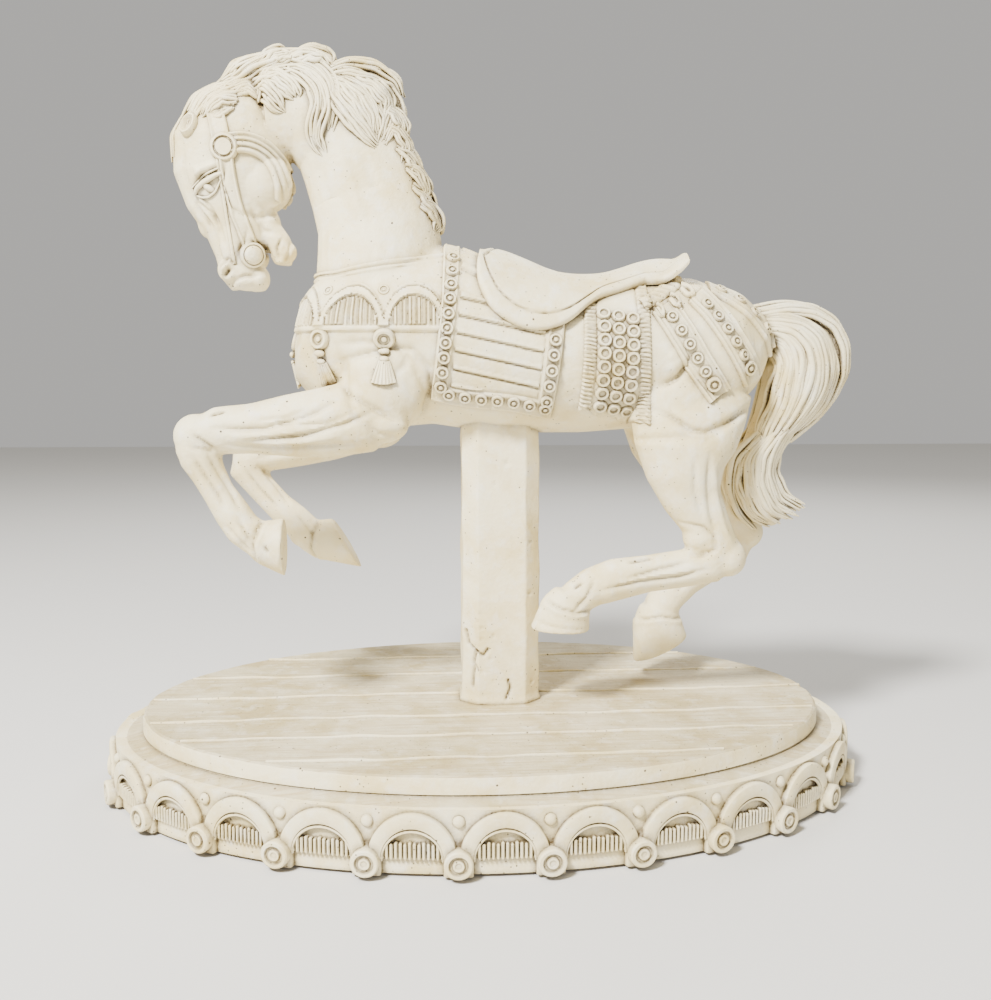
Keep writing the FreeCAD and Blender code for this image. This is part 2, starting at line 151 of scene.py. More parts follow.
def smooth_shade(obj, angle=40):
    select_only(obj)
    bpy.ops.object.shade_smooth_by_angle(angle=math.radians(angle))


# ---------------------------------------------------------------- clay

def pick_rings(mesh, low, high):
    mesh.verts.ensure_lookup_table()
    for v in mesh.verts:
        v.select_set(low <= v.index < high)
    mesh.select_flush(True)


def limb(rows, side=0, sides=20):
    """A round limb: oval rings at each section, bridged one to the next, with closed ends.

    A row is (x, h, half width along x, half width across, y, lean in degrees); the last two may be left out.
    """
    bpy.ops.object.select_all(action="DESELECT")
    count = len(rows)
    for k, row in enumerate(rows):
        before, after = rows[max(k - 1, 0)], rows[min(k + 1, count - 1)]
        lean = math.atan2(after[0] - before[0], after[1] - before[1])
        if len(row) > 5:
            lean = math.radians(row[5])
        y = side * row[4] if side else 0.0
        bpy.ops.mesh.primitive_circle_add(
            vertices=sides, radius=MM, location=at(row[0], y, row[1]), rotation=(0, lean, 0))
        if k == 0:
            obj = bpy.context.active_object
            settle(obj)
            bpy.ops.object.mode_set(mode="EDIT")
        mesh = bmesh.from_edit_mesh(obj.data)
        pick_rings(mesh, k * sides, (k + 1) * sides)
        turn = Matrix.Rotation(lean, 3, "Y")
        bpy.ops.transform.resize(value=(row[2], row[3], 1), orient_matrix=turn, orient_type="GLOBAL",
                                 orient_matrix_type="GLOBAL", center_override=at(row[0], y, row[1]))
        if k:
            pick_rings(mesh, (k - 1) * sides, (k + 1) * sides)
            bpy.ops.mesh.bridge_edge_loops()
    for low in (0, (count - 1) * sides):
        mesh = bmesh.from_edit_mesh(obj.data)
        pick_rings(mesh, low, low + sides)
        bpy.ops.mesh.edge_face_add()
    bpy.ops.mesh.select_all(action="SELECT")
    bpy.ops.mesh.normals_make_consistent(inside=False)
    bpy.ops.object.mode_set(mode="OBJECT")
    return obj


def mass(x, y, h, rx, ry, rz, lean=0.0):
    """A muscle: an ellipsoid, turned about Y by lean degrees."""
    bpy.ops.object.select_all(action="DESELECT")
    bpy.ops.mesh.primitive_uv_sphere_add(segments=24, ring_count=14, radius=MM, location=at(x, y, h),
                                         rotation=(0, math.radians(lean), 0))
    return settle_new((rx, ry, rz))


def pair(x, y, h, rx, ry, rz, lean=0.0):
    return [mass(x, s * y, h, rx, ry, rz, lean) for s in (-1, 1)]


def fuse(name, lumps, voxel, smoothing):
    """Melts lumps of clay into one closed skin and smooths it."""
    body = join(name, lumps)
    body.data.remesh_voxel_size = voxel * MM
    body.data.remesh_voxel_adaptivity = 0.0
    bpy.ops.object.voxel_remesh()
    return modify(body, "SMOOTH", factor=0.5, iterations=smoothing)


def line_distance(px, pz, line):
    """Distance from each point to a broken line, and how far along it the nearest place is, from 0 to 1."""
    best = np.full(len(px), 1e9)
    where = np.zeros(len(px))
    runs = [math.dist(line[k], line[k + 1]) for k in range(len(line) - 1)]
    total, walked = sum(runs), 0.0
    for (ax, az), (bx, bz), run in zip(line, line[1:], runs):
        dx, dz = bx - ax, bz - az
        t = np.clip(((px - ax) * dx + (pz - az) * dz) / (run * run), 0, 1)
        d = np.hypot(px - ax - t * dx, pz - az - t * dz)
        near = d < best
        best = np.where(near, d, best)
        where = np.where(near, (walked + t * run) / total, where)
        walked += run
    return best, where


def carve(obj, cuts):
    """Tools a soft groove, or with a negative depth a ridge, along lines drawn in the side view.

    Each cut is: side (-1 near, 1 far, 0 both), depth, half width, line of (x, h).
    """
    co, normal = points_of(obj), normals_of(obj)
    x, y, h = co[:, 0] / MM, co[:, 1] / MM, (co[:, 2] - BELLY) / MM
    push = np.zeros(len(co))
    for side, depth, width, line in cuts:
        reach = 3 * width
        xs, hs = [p[0] for p in line], [p[1] for p in line]
        close = (x > min(xs) - reach) & (x < max(xs) + reach) & (h > min(hs) - reach) & (h < max(hs) + reach)
        if side:
            close &= y * side > 0
        picked = np.nonzero(close)[0]
        d, t = line_distance(x[picked], h[picked], line)
        fade = np.clip(np.minimum(t, 1 - t) / 0.18, 0.0, 1.0)
        facing = np.clip((np.abs(normal[picked, 1]) - 0.1) / 0.3, 0, 1)
        push[picked] -= depth * np.exp(-(d / width) ** 2) * (0.25 + 0.75 * fade) * facing
    set_points(obj, co + normal * push[:, None] * MM)


def split(obj, point, direction):
    """Cuts a closed solid in two at a plane and returns (the side that direction points to, the rest)."""
    other = copy_of(obj)
    for part, outer in ((obj, False), (other, True)):
        edit(part, lambda: bpy.ops.mesh.bisect(plane_co=point, plane_no=direction, use_fill=True,
                                               clear_inner=not outer, clear_outer=outer))
    return obj, other


# ---------------------------------------------------------------- the horse's forms
# Each row is: x, height, half depth, half width, and for a leg its distance from the middle.
TORSO = [
    (-84, 50, 12, 11), (-80, 49, 25, 22), (-70, 46, 34, 28), (-48, 43.5, 41, 32), (-20, 45, 40.5, 33),
    (10, 37.5, 37.5, 34), (45, 34.5, 34, 34), (72, 37, 34.5, 33.5), (95, 39.5, 33, 33), (112, 36, 29, 29),
    (124, 33, 22, 22), (130, 31, 12, 12),
]
NECK = [
    (-48, 60, 30, 27), (-48, 68, 29, 25), (-47.5, 82, 28.5, 22), (-48.5, 95, 27.5, 19),
    (-52, 109, 27, 16.5),
    (-58, 125, 26, 15.5), (-67, 138, 25, 14.5), (-82, 145, 23, 14), (-97, 144, 20, 13),
]
HEAD = [
    (-106, 157, 4.5, 5), (-107.5, 152, 10.5, 9.5), (-110, 145, 19, 13.5), (-112.5, 130, 26.5, 16),
    (-113.5, 116, 25.5, 15),
    (-113, 104, 20.8, 12.5), (-110.5, 91, 15, 10), (-110, 80, 11.5, 8.5), (-110, 72, 9.6, 7.5),
    (-108.5, 67, 6.5, 5.5),
]
JAW = [
    (-103.5, 99, 6, 6), (-98.5, 92.5, 6.4, 7), (-93.5, 86, 6, 6.8),
    (-91.3, 81, 5.6, 6.2), (-91.6, 77, 3.6, 5.2),
]
CREST = [
    (-114, 152, 4, 5), (-108, 159, 6, 7), (-97, 163, 5, 8), (-86, 164.5, 5.5, 9), (-74, 162.5, 7, 9),
    (-62, 157, 7.5, 9.5),
    (-50, 150, 9.5, 9), (-43, 134, 7.5, 8), (-35, 118, 5.5, 6.5), (-28, 103, 4.5, 5), (-22, 92, 3.4, 4),
]
NEAR_FORELEG = [
    (-40, 16, 10, 9, 22), (-55, 9, 16.5, 13, 26), (-72, 6, 15.5, 12.5, 27.5), (-88, 4.8, 13.5, 11, 28),
    (-103, 3.6, 11, 9.5, 28), (-117, 2.8, 10.5, 9, 28), (-126.5, -1.5, 9.5, 8.5, 28),
    (-125.5, -9, 9, 8, 28),
    (-122, -16, 7.5, 6.5, 28), (-118, -24, 7, 6, 28), (-112.5, -33, 7.8, 7, 28), (-108, -40, 8, 7.2, 28),
    (-102, -44.5, 8, 7, 28),
]
NEAR_FORE_HOOF = [
    (-105, -43.5, 6.5, 6.5, 28), (-99.5, -45.8, 9.8, 8.7, 28),
    (-90, -48.4, 13.0, 10.8, 28, 90),
]
FAR_FORELEG = [
    (-45, 14, 12, 11, 20), (-60, 6, 16, 14, 24), (-76, -1.5, 13, 11.5, 28), (-90, -5.5, 11.5, 10.5, 28),
    (-103, -8.5, 10.5, 9.5, 28), (-112.5, -11.5, 10, 8.6, 28), (-114.5, -18, 9, 8, 28),
    (-108, -27, 7, 6.5, 28),
    (-100, -36, 7, 6.2, 28), (-92.5, -43, 7.8, 7, 28), (-86, -49, 7.6, 7, 28), (-82, -52.5, 7.4, 7, 28),
]
FAR_FORE_HOOF = [(-88, -51.5, 6.5, 6.5, 28), (-80.5, -53, 9.8, 8.7, 28), (-66.5, -55, 14.2, 10.8, 28, 60)]
NEAR_HIND_LEG = [
    (93, 22, 29, 11, 19), (91, 8, 27, 14.5, 21.5), (89.5, -5, 23.5, 15, 24), (89.5, -17, 18, 13, 25),
    (93, -29, 13.5, 10.5, 25), (99.5, -40, 11, 9, 25), (105, -50, 10, 8.6, 25), (101, -59, 9.6, 8, 25),
    (88, -61, 8.8, 7.4, 25), (73, -63, 8.6, 7.2, 25), (58, -65.5, 9.8, 8, 25), (47, -69, 9, 8, 25),
    (38, -75, 8, 7.5, 25),
]
NEAR_HIND_HOOF = [(38, -72, 8.2, 7.5, 25), (35.5, -77, 11.2, 9.8, 25), (32.6, -88.2, 13.6, 11.6, 25, 183)]
FAR_HIND_LEG = [
    (95, 22, 29, 11, 19), (95, 8, 26.5, 14.5, 21.5), (97, -5, 22.5, 15, 24), (102, -17, 18, 13, 25),
    (112, -29, 15, 11, 25), (123, -40, 12.5, 9.4, 25), (131.5, -50.5, 11, 9, 25),
    (127, -59.5, 10.3, 8.2, 25),
    (116, -67, 9.4, 7.6, 25), (104, -75, 9, 7.4, 25), (95, -83, 9.5, 8, 25), (90, -91, 8.5, 7.6, 25),
]
FAR_HIND_HOOF = [(89.5, -88, 8.8, 7.6, 25), (89.5, -96, 12.4, 9.8, 25), (91.5, -111, 15.2, 11.3, 25, 155)]
NECK_JOINT, NECK_JOINT_TILT = (-46.0, 76.5), 7.4


# each row is: x, y, height, three half sizes and, where it leans, the degrees
SHOULDERS_AND_HAUNCHES = [
    (-47, 20, 20, 20, 16.5, 20), (-60, 16, 44, 19, 14, 24, 20), (-72, 10, 44, 11, 11, 20, 10),
    (97, 18, 34, 27, 15, 26, -20), (86, 20, 14, 21, 14, 20, 20),
]
JOINTS = [
    # near knee, and the front of the near hock
    (-123, -28, 1, 8, 9.2, 9), (-127, -28, 0.6, 9.6, 9.2, 9.6), (-127.5, -28, -5, 8.2, 8.6, 8),
    (97, -25, -46.5, 8.2, 8.2, 7),
    # far knee, the two fore fetlocks, the points of the hocks and the two hind fetlocks
    (-112.5, 28, -12.5, 9, 9, 9.5), (-107, -28, -41, 8, 8.2, 7.5), (-88, 28, -49, 7.5, 8.2, 8),
    (110, -25, -56, 8.6, 8.8, 9), (134.5, 25, -51, 9, 9, 9), (53, -25, -68, 9, 8.8, 8.5),
    (94, 25, -86, 8.5, 8.6, 8.5),
    # elbows
    (-47, -28, 5, 12, 9, 8), (-50, 25, 1, 12, 9, 9),
]


def model_body():
    lumps = [limb(TORSO, sides=28), limb(NECK[:5], sides=28)]
    lumps += [limb(leg, side) for side, leg in
              ((-1, NEAR_FORELEG), (1, FAR_FORELEG), (-1, NEAR_HIND_LEG), (1, FAR_HIND_LEG))]
    lumps += [limb(hoof, side, sides=28) for side, hoof in
              ((-1, NEAR_FORE_HOOF), (1, FAR_FORE_HOOF), (-1, NEAR_HIND_HOOF), (1, FAR_HIND_HOOF))]
    lumps += [lump for form in SHOULDERS_AND_HAUNCHES for lump in pair(*form)]
    lumps += [mass(*form) for form in JOINTS]
    body = fuse("horse_clay", lumps, 0.94, 18)
    carve(body, BODY_CUTS)
    return body


BODY_CUTS = [
    # near foreleg: the long muscles of the forearm, the elbow and the tendons of the cannon
    (-1, 1.5, 1.3, [(-118, 4), (-108, 3.5), (-96, 4), (-76, 10), (-66, 15)]),
    (-1, 1.6, 1.2, [(-104, -1), (-92, 0), (-79, 1), (-62, 6), (-50, 11)]),
    (-1, 1.3, 1.2, [(-113, -3), (-96, -4.5), (-79, -4), (-57, -3)]),
    (-1, 0.9, 1.0, [(-92, 6.5), (-80, 5.5), (-70, 6), (-60, 10)]),
    (-1, 0.8, 0.8, [(-100, 7.5), (-88, 8.5), (-78, 12)]),
    (-1, 1.5, 1.3, [(-65, 24), (-59, 18), (-52, 14), (-46, 10), (-36, 6)]),
    (-1, 1.3, 1.5, [(-67, 32), (-54.6, 35.5), (-42.2, 38.5), (-33, 37.6), (-26.5, 30), (-25, 21),
         (-29, 10), (-35, 4)]),
    (-1, -0.9, 3.0, [(-62, 29.5), (-52, 31), (-42, 33.5), (-35.5, 32), (-31, 27), (-30, 20.5),
         (-33, 12.5)]),
    (-1, -0.8, 1.2, [(-110, 0.5), (-95, 0.5), (-80, 3)]),
    (-1, -0.7, 1.1, [(-96, -2.5), (-80, -2), (-64, 1)]),
    (-1, 1.3, 1.0, [(-127, -8), (-122, -17), (-117, -25), (-114, -31)]),
    (-1, 1.2, 0.9, [(-121, -7), (-116, -16), (-111, -25), (-108, -31)]),
    (-1, -0.6, 0.9, [(-124, -8), (-119, -17), (-114, -25)]),
    (-1, 1.4, 0.9, [(-126, 1.5), (-121.5, -2.2), (-117, -5.5)]),
    (-1, 0.7, 0.9, [(-128, -4), (-123, -5), (-118, -6)]),
    (-1, 1.1, 0.9, [(-109, -35), (-105, -42), (-103, -46)]),
    (-1, 0.9, 0.9, [(-114, -38), (-109, -44), (-104, -50)]),
    (-1, 1.0, 0.8, [(-95, -30), (-100, -38), (-103, -46), (-102, -56)]),
    (-1, -0.6, 1.0, [(-93.5, -31), (-98, -39), (-101, -47), (-100, -56)]),
    (-1, 0.6, 0.8, [(-86, -36), (-90, -46), (-91, -58)]),
    (-1, 1.7, 0.6, [(-120, 9.5), (-113, 11.5)]), (-1, 1.5, 0.6, [(-98, -46.5), (-96, -49.5)]),
    (-1, 1.7, 0.6, [(63, -57), (69, -56), (75, -55)]), (-1, 1.5, 0.6, [(38, -68.5), (41.5, -66)]),
    # far foreleg
    (1, 1.3, 1.2, [(-110, -8), (-96, -5), (-80, 1), (-66, 8)]),
    (1, 1.3, 1.2, [(-107, -12), (-92, -9), (-76, -5), (-58, -2)]),
    (1, 1.2, 0.9, [(-115, -17), (-107, -28), (-99, -37)]),
    (1, 1.1, 0.9, [(-108, -16), (-100, -26), (-94, -35)]),
    (1, 1.0, 0.9, [(-90, -40), (-85, -46), (-82, -50)]),
    (1, 1.0, 0.8, [(-78, -41), (-83, -49), (-84, -57), (-80, -66)]),
    (1, -0.6, 1.0, [(-76, -42), (-81, -50), (-82, -57), (-78, -66)]),
    # near hind leg: folds of the haunch, the tendon down to the hock, the cannon and the hoof
    (-1, 2.0, 1.5, [(72, 12), (80, 9), (89, 3), (96, 2), (108, 7), (119, 13)]),
    (-1, 1.0, 1.4, [(95, -2), (102, 2), (108, 6), (116, 10), (122, 14)]),
    (-1, 1.1, 1.6, [(58, 4), (65, -2), (73, -1), (85, 0), (93, -2)]),
    (-1, 1.9, 1.3, [(88, 36), (87, 30), (83, 25.5), (76, 22)]),
    (-1, -1.2, 3.0, [(79, 37), (83, 33), (80, 28)]),
    (-1, 1.2, 1.3, [(97, -8), (97, -20), (99, -34), (102, -45)]),
    (-1, 0.9, 1.2, [(90, -10), (91, -24), (95, -36)]),
    (-1, -0.9, 1.3, [(100, -14), (102, -28), (106, -42), (110, -49)]),
    (-1, 1.2, 1.0, [(86, -39), (96, -41), (101, -45), (102, -51), (96, -54), (88, -54)]),
    (-1, 1.3, 1.1, [(50, -69), (67, -65.5), (86, -63.5), (99, -60)]),
    (-1, 1.2, 1.0, [(62, -64), (78, -59.5), (90, -57)]),
    (-1, -0.6, 1.0, [(56, -66.5), (74, -62.5), (92, -60.5)]),
    (-1, 1.1, 0.9, [(38, -78), (44, -72), (47, -64)]),
    (-1, 1.0, 0.8, [(24, -73), (31, -76.5), (40, -79), (48, -79)]),
    (-1, -0.6, 1.0, [(23, -75), (30, -78.5), (39, -81), (47, -81)]),
    (-1, 0.6, 0.8, [(20, -83), (30, -85), (44, -87)]),
    # far hind leg
    (1, 1.3, 1.6, [(74, 12), (84, 8), (94, 3), (104, 4), (118, 12)]),
    (1, 1.1, 1.6, [(60, 4), (70, 0), (84, 0), (96, -3)]),
    (1, 1.2, 1.3, [(104, -10), (107, -22), (114, -35), (121, -45)]),
    (1, -0.9, 1.3, [(110, -12), (116, -26), (124, -40)]),
    (1, 1.1, 1.0, [(108, -42), (118, -46), (122, -54), (114, -58)]),
    (1, 1.3, 1.0, [(122, -60), (110, -69), (98, -80)]), (1, 1.2, 1.0, [(116, -57), (106, -65), (96, -75)]),
    (1, 1.0, 0.8, [(76, -95), (90, -92.5), (104, -95)]),
    (1, -0.6, 1.0, [(76, -97), (90, -94.5), (104, -97)]),
    # both sides of the body: shoulder, chest, ribs and rump
    (0, 1.2, 1.6, [(-66, 40), (-62, 31), (-62, 22), (-58, 10), (-48, 1), (-36, 0)]),
    (0, 1.0, 1.5, [(-66, 40), (-54, 41), (-42, 40), (-33, 32), (-28, 20)]),
    (0, 0.8, 1.6, [(-52, 28), (-43, 25), (-37, 31), (-34, 38)]),
    (0, 0.5, 2.2, [(36, 22), (40, 10), (52, 2)]),
    (0, 0.8, 2.0, [(104, 52), (112, 42), (116, 30), (120, 16)]),
]


# ---------------------------------------------------------------- materials

def linear(code, strength=1.0):
    """A hex colour of the screen as the linear colour that a shader wants."""
    values = [int(code[k:k + 2], 16) / 255 for k in (1, 3, 5)]
    return [strength * (v / 12.92 if v <= 0.04045 else ((v + 0.055) / 1.055) ** 2.4) for v in values] + [1.0]


def add_node(tree, kind, settings=None, **links):
    """Adds one node. A setting is a property or an input, and a link names the socket that feeds an input."""
    node = tree.nodes.new(kind)
    for key, value in (settings or {}).items():
        if isinstance(key, str) and hasattr(node, key):
            setattr(node, key, value)
        else:
            node.inputs[key].default_value = value
    for key, socket in links.items():
        slot = int(key[1:]) if key[0] == "_" and key[1:].isdigit() else key.replace("_", " ")
        tree.links.new(socket, node.inputs[slot])
    return node


def new_material(name, **shader_settings):
    material = bpy.data.materials.new(name)
    material.use_nodes = True
    tree = material.node_tree
    shader = tree.nodes["Principled BSDF"]
    for key, value in shader_settings.items():
        shader.inputs[key.replace("_", " ")].default_value = value
    return material, tree, shader


def ramp(tree, socket, stops):
    node = add_node(tree, "ShaderNodeValToRGB", Fac=socket)
    elements = node.color_ramp.elements
    while len(elements) < len(stops):
        elements.new(0.5)
    for element, (place, colour) in zip(elements, stops):
        element.position, element.color = place, colour
    return node.outputs["Color"]


def grey(value):
    return (value, value, value, 1.0)


def feed(tree, node, slot, value):
    """Gives an input a constant, or the socket that feeds it."""
    if isinstance(value, bpy.types.NodeSocket):
        tree.links.new(value, node.inputs[slot])
    else:
        node.inputs[slot].default_value = value


def reckon(tree, operation, *terms):
    """One step of arithmetic on numbers or sockets."""
    node = add_node(tree, "ShaderNodeMath", {"operation": operation})
    for slot, term in enumerate(terms):
        feed(tree, node, slot, term)
    return node.outputs[0]


def blend(tree, share, first, second):
    """Goes from the first colour to the second as the share goes from 0 to 1."""
    node = add_node(tree, "ShaderNodeMix", {"data_type": "RGBA"})
    for slot, value in ((0, share), (6, first), (7, second)):
        feed(tree, node, slot, value)
    return node.outputs[2]


def noise(tree, place, scale, detail, roughness=0.5, distortion=0.0):
    settings = {"Scale": scale, "Detail": detail, "Roughness": roughness, "Distortion": distortion}
    return add_node(tree, "ShaderNodeTexNoise", settings, Vector=place).outputs["Fac"]


def object_place(tree):
    return add_node(tree, "ShaderNodeTexCoord").outputs["Object"]


def paint_by(tree, shader, socket, low, high, colours, roughness):
    """Colour and roughness that both follow one pattern, between its values low and high."""
    for name, (first, last) in (("Base Color", [linear(c) for c in colours]),
                                ("Roughness", [grey(r) for r in roughness])):
        tree.links.new(ramp(tree, socket, [(low, first), (high, last)]), shader.inputs[name])


def raise_bumps(tree, shader, height, strength, distance):
    bump = add_node(tree, "ShaderNodeBump", {"Strength": strength, "Distance": distance}, Height=height)
    tree.links.new(bump.outputs[0], shader.inputs["Normal"])


# how far the real glaze and the painted shade in the hollows look for open sky
GLAZE_AND_SHADE_REACH = 3.4 * MM


def painted_plaster(name, paint, warm, chalk, glaze_and_shade_brown, grain=0.0):
    """Cast plaster resin under a brushed coat of antique-white paint.

    The eye gets a soft satin skin, cream and chalk-white clouds 20 to 40 mm across, brown glaze left in the
    hollows together with painted shade there, pinholes under 1 mm from air bubbles in the mould, and brush
    marks of about 1 mm.
    """
    material, tree, shader = new_material(name, Roughness=0.55, IOR=1.5)
    place = object_place(tree)
    clouds = noise(tree, place, 38.0, 5.0, 0.6)
    patches = noise(tree, place, 130.0, 6.0, 0.65)
    speck = noise(tree, place, 900.0, 3.0, 0.7)
    brush = noise(tree, place, 520.0, 4.0, 0.6)
    colour = blend(tree, ramp(tree, clouds, [(0.36, grey(0)), (0.58, grey(1))]), linear(warm), linear(paint))
    colour = blend(tree, ramp(tree, patches, [(0.5, grey(0)), (0.74, grey(0.8))]), colour, linear(chalk))
    # brown glaze wiped off the high places and left in the hollows, with painted shade laid into the same
    # hollows: both follow the open sky over each point
    hollow = add_node(tree, "ShaderNodeAmbientOcclusion",
                      {"samples": 8, "only_local": False, "Distance": GLAZE_AND_SHADE_REACH}).outputs["AO"]
    glaze_and_painted_shade = ramp(tree, hollow, [(0.46, grey(1)), (0.78, grey(0.36)), (0.98, grey(0))])
    worn = ramp(tree, speck, [(0.3, grey(0.6)), (0.6, grey(1))])
    # painted shade: the hollows are coloured darker towards brown, together with the real glaze there
    colour = blend(tree, reckon(tree, "MULTIPLY", glaze_and_painted_shade, worn), colour, linear(glaze_and_shade_brown))
    # air-bubble pinholes: open ones of 1 mm far apart, and a peppering of 0.5 mm ones
    rough_patch = ramp(tree, clouds, [(0.4, grey(0.34)), (0.55, grey(0.72))])
    holes = []
    for spacing, size, share in ((8.0, 0.46, 0.4), (2.3, 0.28, rough_patch)):
        pores = add_node(tree, "ShaderNodeTexVoronoi", {"Scale": 1000 / spacing}, Vector=place)
        chosen = reckon(tree, "GREATER_THAN", pores.outputs["Color"], share)
        pit = reckon(tree, "LESS_THAN", pores.outputs["Distance"], size / spacing)
        holes.append(reckon(tree, "MULTIPLY", chosen, pit))
    hole = reckon(tree, "MAXIMUM", *holes)
    colour = blend(tree, hole, colour, linear("#4A3A20"))
    height = reckon(tree, "MULTIPLY_ADD", brush, 0.5, patches)
    if grain:
        # wood grain pressed into the mould: streaks 1 to 2 mm wide and 40 mm long, along the planks
        stretch = add_node(tree, "ShaderNodeMapping", {"Scale": (22.0, 620.0, 200.0)}, Vector=place)
        streak = noise(tree, stretch.outputs[0], 1.0, 6.0, 0.62, 0.5)
        marks = ramp(tree, streak, [(0.36, grey(1)), (0.52, grey(0))])
        colour = blend(tree, reckon(tree, "MULTIPLY", marks, grain), colour, linear("#B39A6C"))
        height = reckon(tree, "MULTIPLY_ADD", streak, 1.2, height)
    tree.links.new(colour, shader.inputs["Base Color"])
    tree.links.new(ramp(tree, patches, [(0.3, grey(0.48)), (0.7, grey(0.68))]), shader.inputs["Roughness"])
    raise_bumps(tree, shader, reckon(tree, "MULTIPLY_ADD", hole, -3.0, height), 0.6, 0.0006)
    return material


def zinc_plated_steel():
    """Zinc-plated steel: a dull blue-grey spangle."""
    material, tree, shader = new_material("zinc_plated_steel", Metallic=1.0, Roughness=0.38)
    spangle = add_node(tree, "ShaderNodeTexVoronoi", {"Scale": 600.0}, Vector=object_place(tree))
    paint_by(tree, shader, spangle.outputs["Distance"], 0.0, 1.0, ("#9FA3A6", "#C2C4C2"), (0.3, 0.5))
    return material


def turned_brass():
    """Turned brass: warm yellow with lathe rings, drawn coarser than the real ones."""
    material, tree, shader = new_material("turned_brass", Metallic=1.0, Roughness=0.3)
    rings = add_node(tree, "ShaderNodeTexWave", {"bands_direction": "Z", "Scale": 320.0, "Distortion": 0.3},
                     Vector=object_place(tree))
    paint_by(tree, shader, rings.outputs["Fac"], 0.0, 1.0, ("#B8924A", "#DDBE7C"), (0.25, 0.4))
    return material


def brown_felt():
    """Pressed wool felt: matt, with tangled fibres of about 0.5 mm and paler fuzz on top."""
    material, tree, shader = new_material("pressed_brown_felt", Roughness=0.95, Sheen_Weight=0.4)
    fibre = noise(tree, object_place(tree), 1800.0, 4.0, distortion=1.5)
    colours = [(0.3, linear("#3A2A1C")), (0.7, linear("#6B523A"))]
    tree.links.new(ramp(tree, fibre, colours), shader.inputs["Base Color"])
    raise_bumps(tree, shader, fibre, 0.6, 0.0004)
    return material


# the last colour is the brown of the glaze and of the painted shade in the hollows
PLASTER = painted_plaster("antique_white_cast_plaster", "#F7EABF", "#E8D49A", "#F8F1DC", "#544020")
DECK_PLASTER = painted_plaster("antique_white_plank_plaster", "#D6C9A2", "#BDAB79", "#E6DEC4", "#544020",
                               grain=0.6)
STEEL, BRASS, FELT = zinc_plated_steel(), turned_brass(), brown_felt()


def dress(obj, material):
    obj.data.materials.clear()
    obj.data.materials.append(material)


def finish_piece(obj, nodes=(), material=None, angle=40):
    """Gives a piece its paint and its place in the model."""
    smooth_shade(obj, angle)
    dress(obj, material or PLASTER)
    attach(obj, "root")
    if nodes:
        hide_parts(*nodes)
    return obj


def set_the_studio():
    scene = bpy.context.scene
    bpy.ops.object.select_all(action="DESELECT")
    bpy.ops.mesh.primitive_plane_add(size=6.0, location=(0, 0, 0))
    floor = bpy.context.active_object
    floor.name = "studio_floor"
    edit(floor, lambda: bpy.ops.mesh.subdivide(number_cuts=3))
    paper, tree, shader = new_material("studio_paper", Roughness=0.85)
    shader.inputs["Base Color"].default_value = linear("#DAD7D0")
    dress(floor, paper)
    world = bpy.data.worlds.new("studio_air")
    scene.world = world
    world.use_nodes = True
    world.node_tree.nodes["Background"].inputs["Color"].default_value = linear("#EDEBE7")
    world.node_tree.nodes["Background"].inputs["Strength"].default_value = 0.6
    for name, place, aim, size, power in (
        ("key", (-0.62, -0.85, 1.15), (0.0, 0.0, 0.14), 0.24, 70.0),
        ("fill", (0.9, -1.1, 0.5), (0.0, 0.0, 0.14), 0.9, 2.5),
        ("rim", (0.5, 1.0, 1.1), (0.0, 0.0, 0.2), 0.6, 12.0),
    ):
        light = bpy.data.lights.new(name, "AREA")
        light.size, light.energy = size, power
        lamp = bpy.data.objects.new(name, light)
        scene.collection.objects.link(lamp)
        lamp.location = place
        lamp.rotation_euler = (Vector(aim) - Vector(place)).to_track_quat("-Z", "Y").to_euler()
    lens = bpy.data.cameras.new("camera")
    lens.lens, lens.sensor_width, lens.sensor_fit = 37.07, 36.0, "HORIZONTAL"
    lens.clip_start = 0.01
    camera = bpy.data.objects.new("camera", lens)
    scene.collection.objects.link(camera)
    camera.location = (-0.03184, -0.47839, 0.18145)
    camera.rotation_euler = Vector((0.0766, 0.9915, -0.1052)).to_track_quat("-Z", "Y").to_euler()
    scene.camera = camera


set_the_studio()
for node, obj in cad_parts.items():
    dress(obj, FELT if node == "base_felt" else BRASS if node == "body_insert" else STEEL
          if node.endswith("_pin") or node.startswith(("rod", "threaded", "neck_pin")) else PLASTER)


# ---------------------------------------------------------------- the base

ARCH_COUNT, ARCH_BAND, ROSETTE_HEIGHT = 26, 5.5, 5.6
WALL_A, WALL_B = 171.0, 113.0
WALL_LOW, WALL_HIGH = PLINTH_LOW / MM, PLINTH_TOP / MM
WALL_THICK = 9
SPRINGING = WALL_LOW + ROSETTE_HEIGHT


def oval_track(a, b, count):
    """A function from the distance walked round an oval to the point and the way out there, and the pitch."""
    turn = np.linspace(0, 2 * math.pi, 7201)
    px, py = a * np.cos(turn), b * np.sin(turn)
    walked = np.concatenate([[0], np.cumsum(np.hypot(np.diff(px), np.diff(py)))])

    def place(distance):
        t = np.interp(np.mod(distance, walked[-1]), walked, turn)
        nx, ny = b * np.cos(t), a * np.sin(t)
        size = np.hypot(nx, ny)
        return a * np.cos(t), b * np.sin(t), nx / size, ny / size

    return place, walked[-1] / count


def add_block(low, high):
    """A box between two corners, in millimetres."""
    bpy.ops.object.select_all(action="DESELECT")
    middle = [(a + b) / 2 * MM for a, b in zip(low, high)]
    bpy.ops.mesh.primitive_cube_add(size=MM, location=middle)
    return settle_new([b - a for a, b in zip(low, high)])


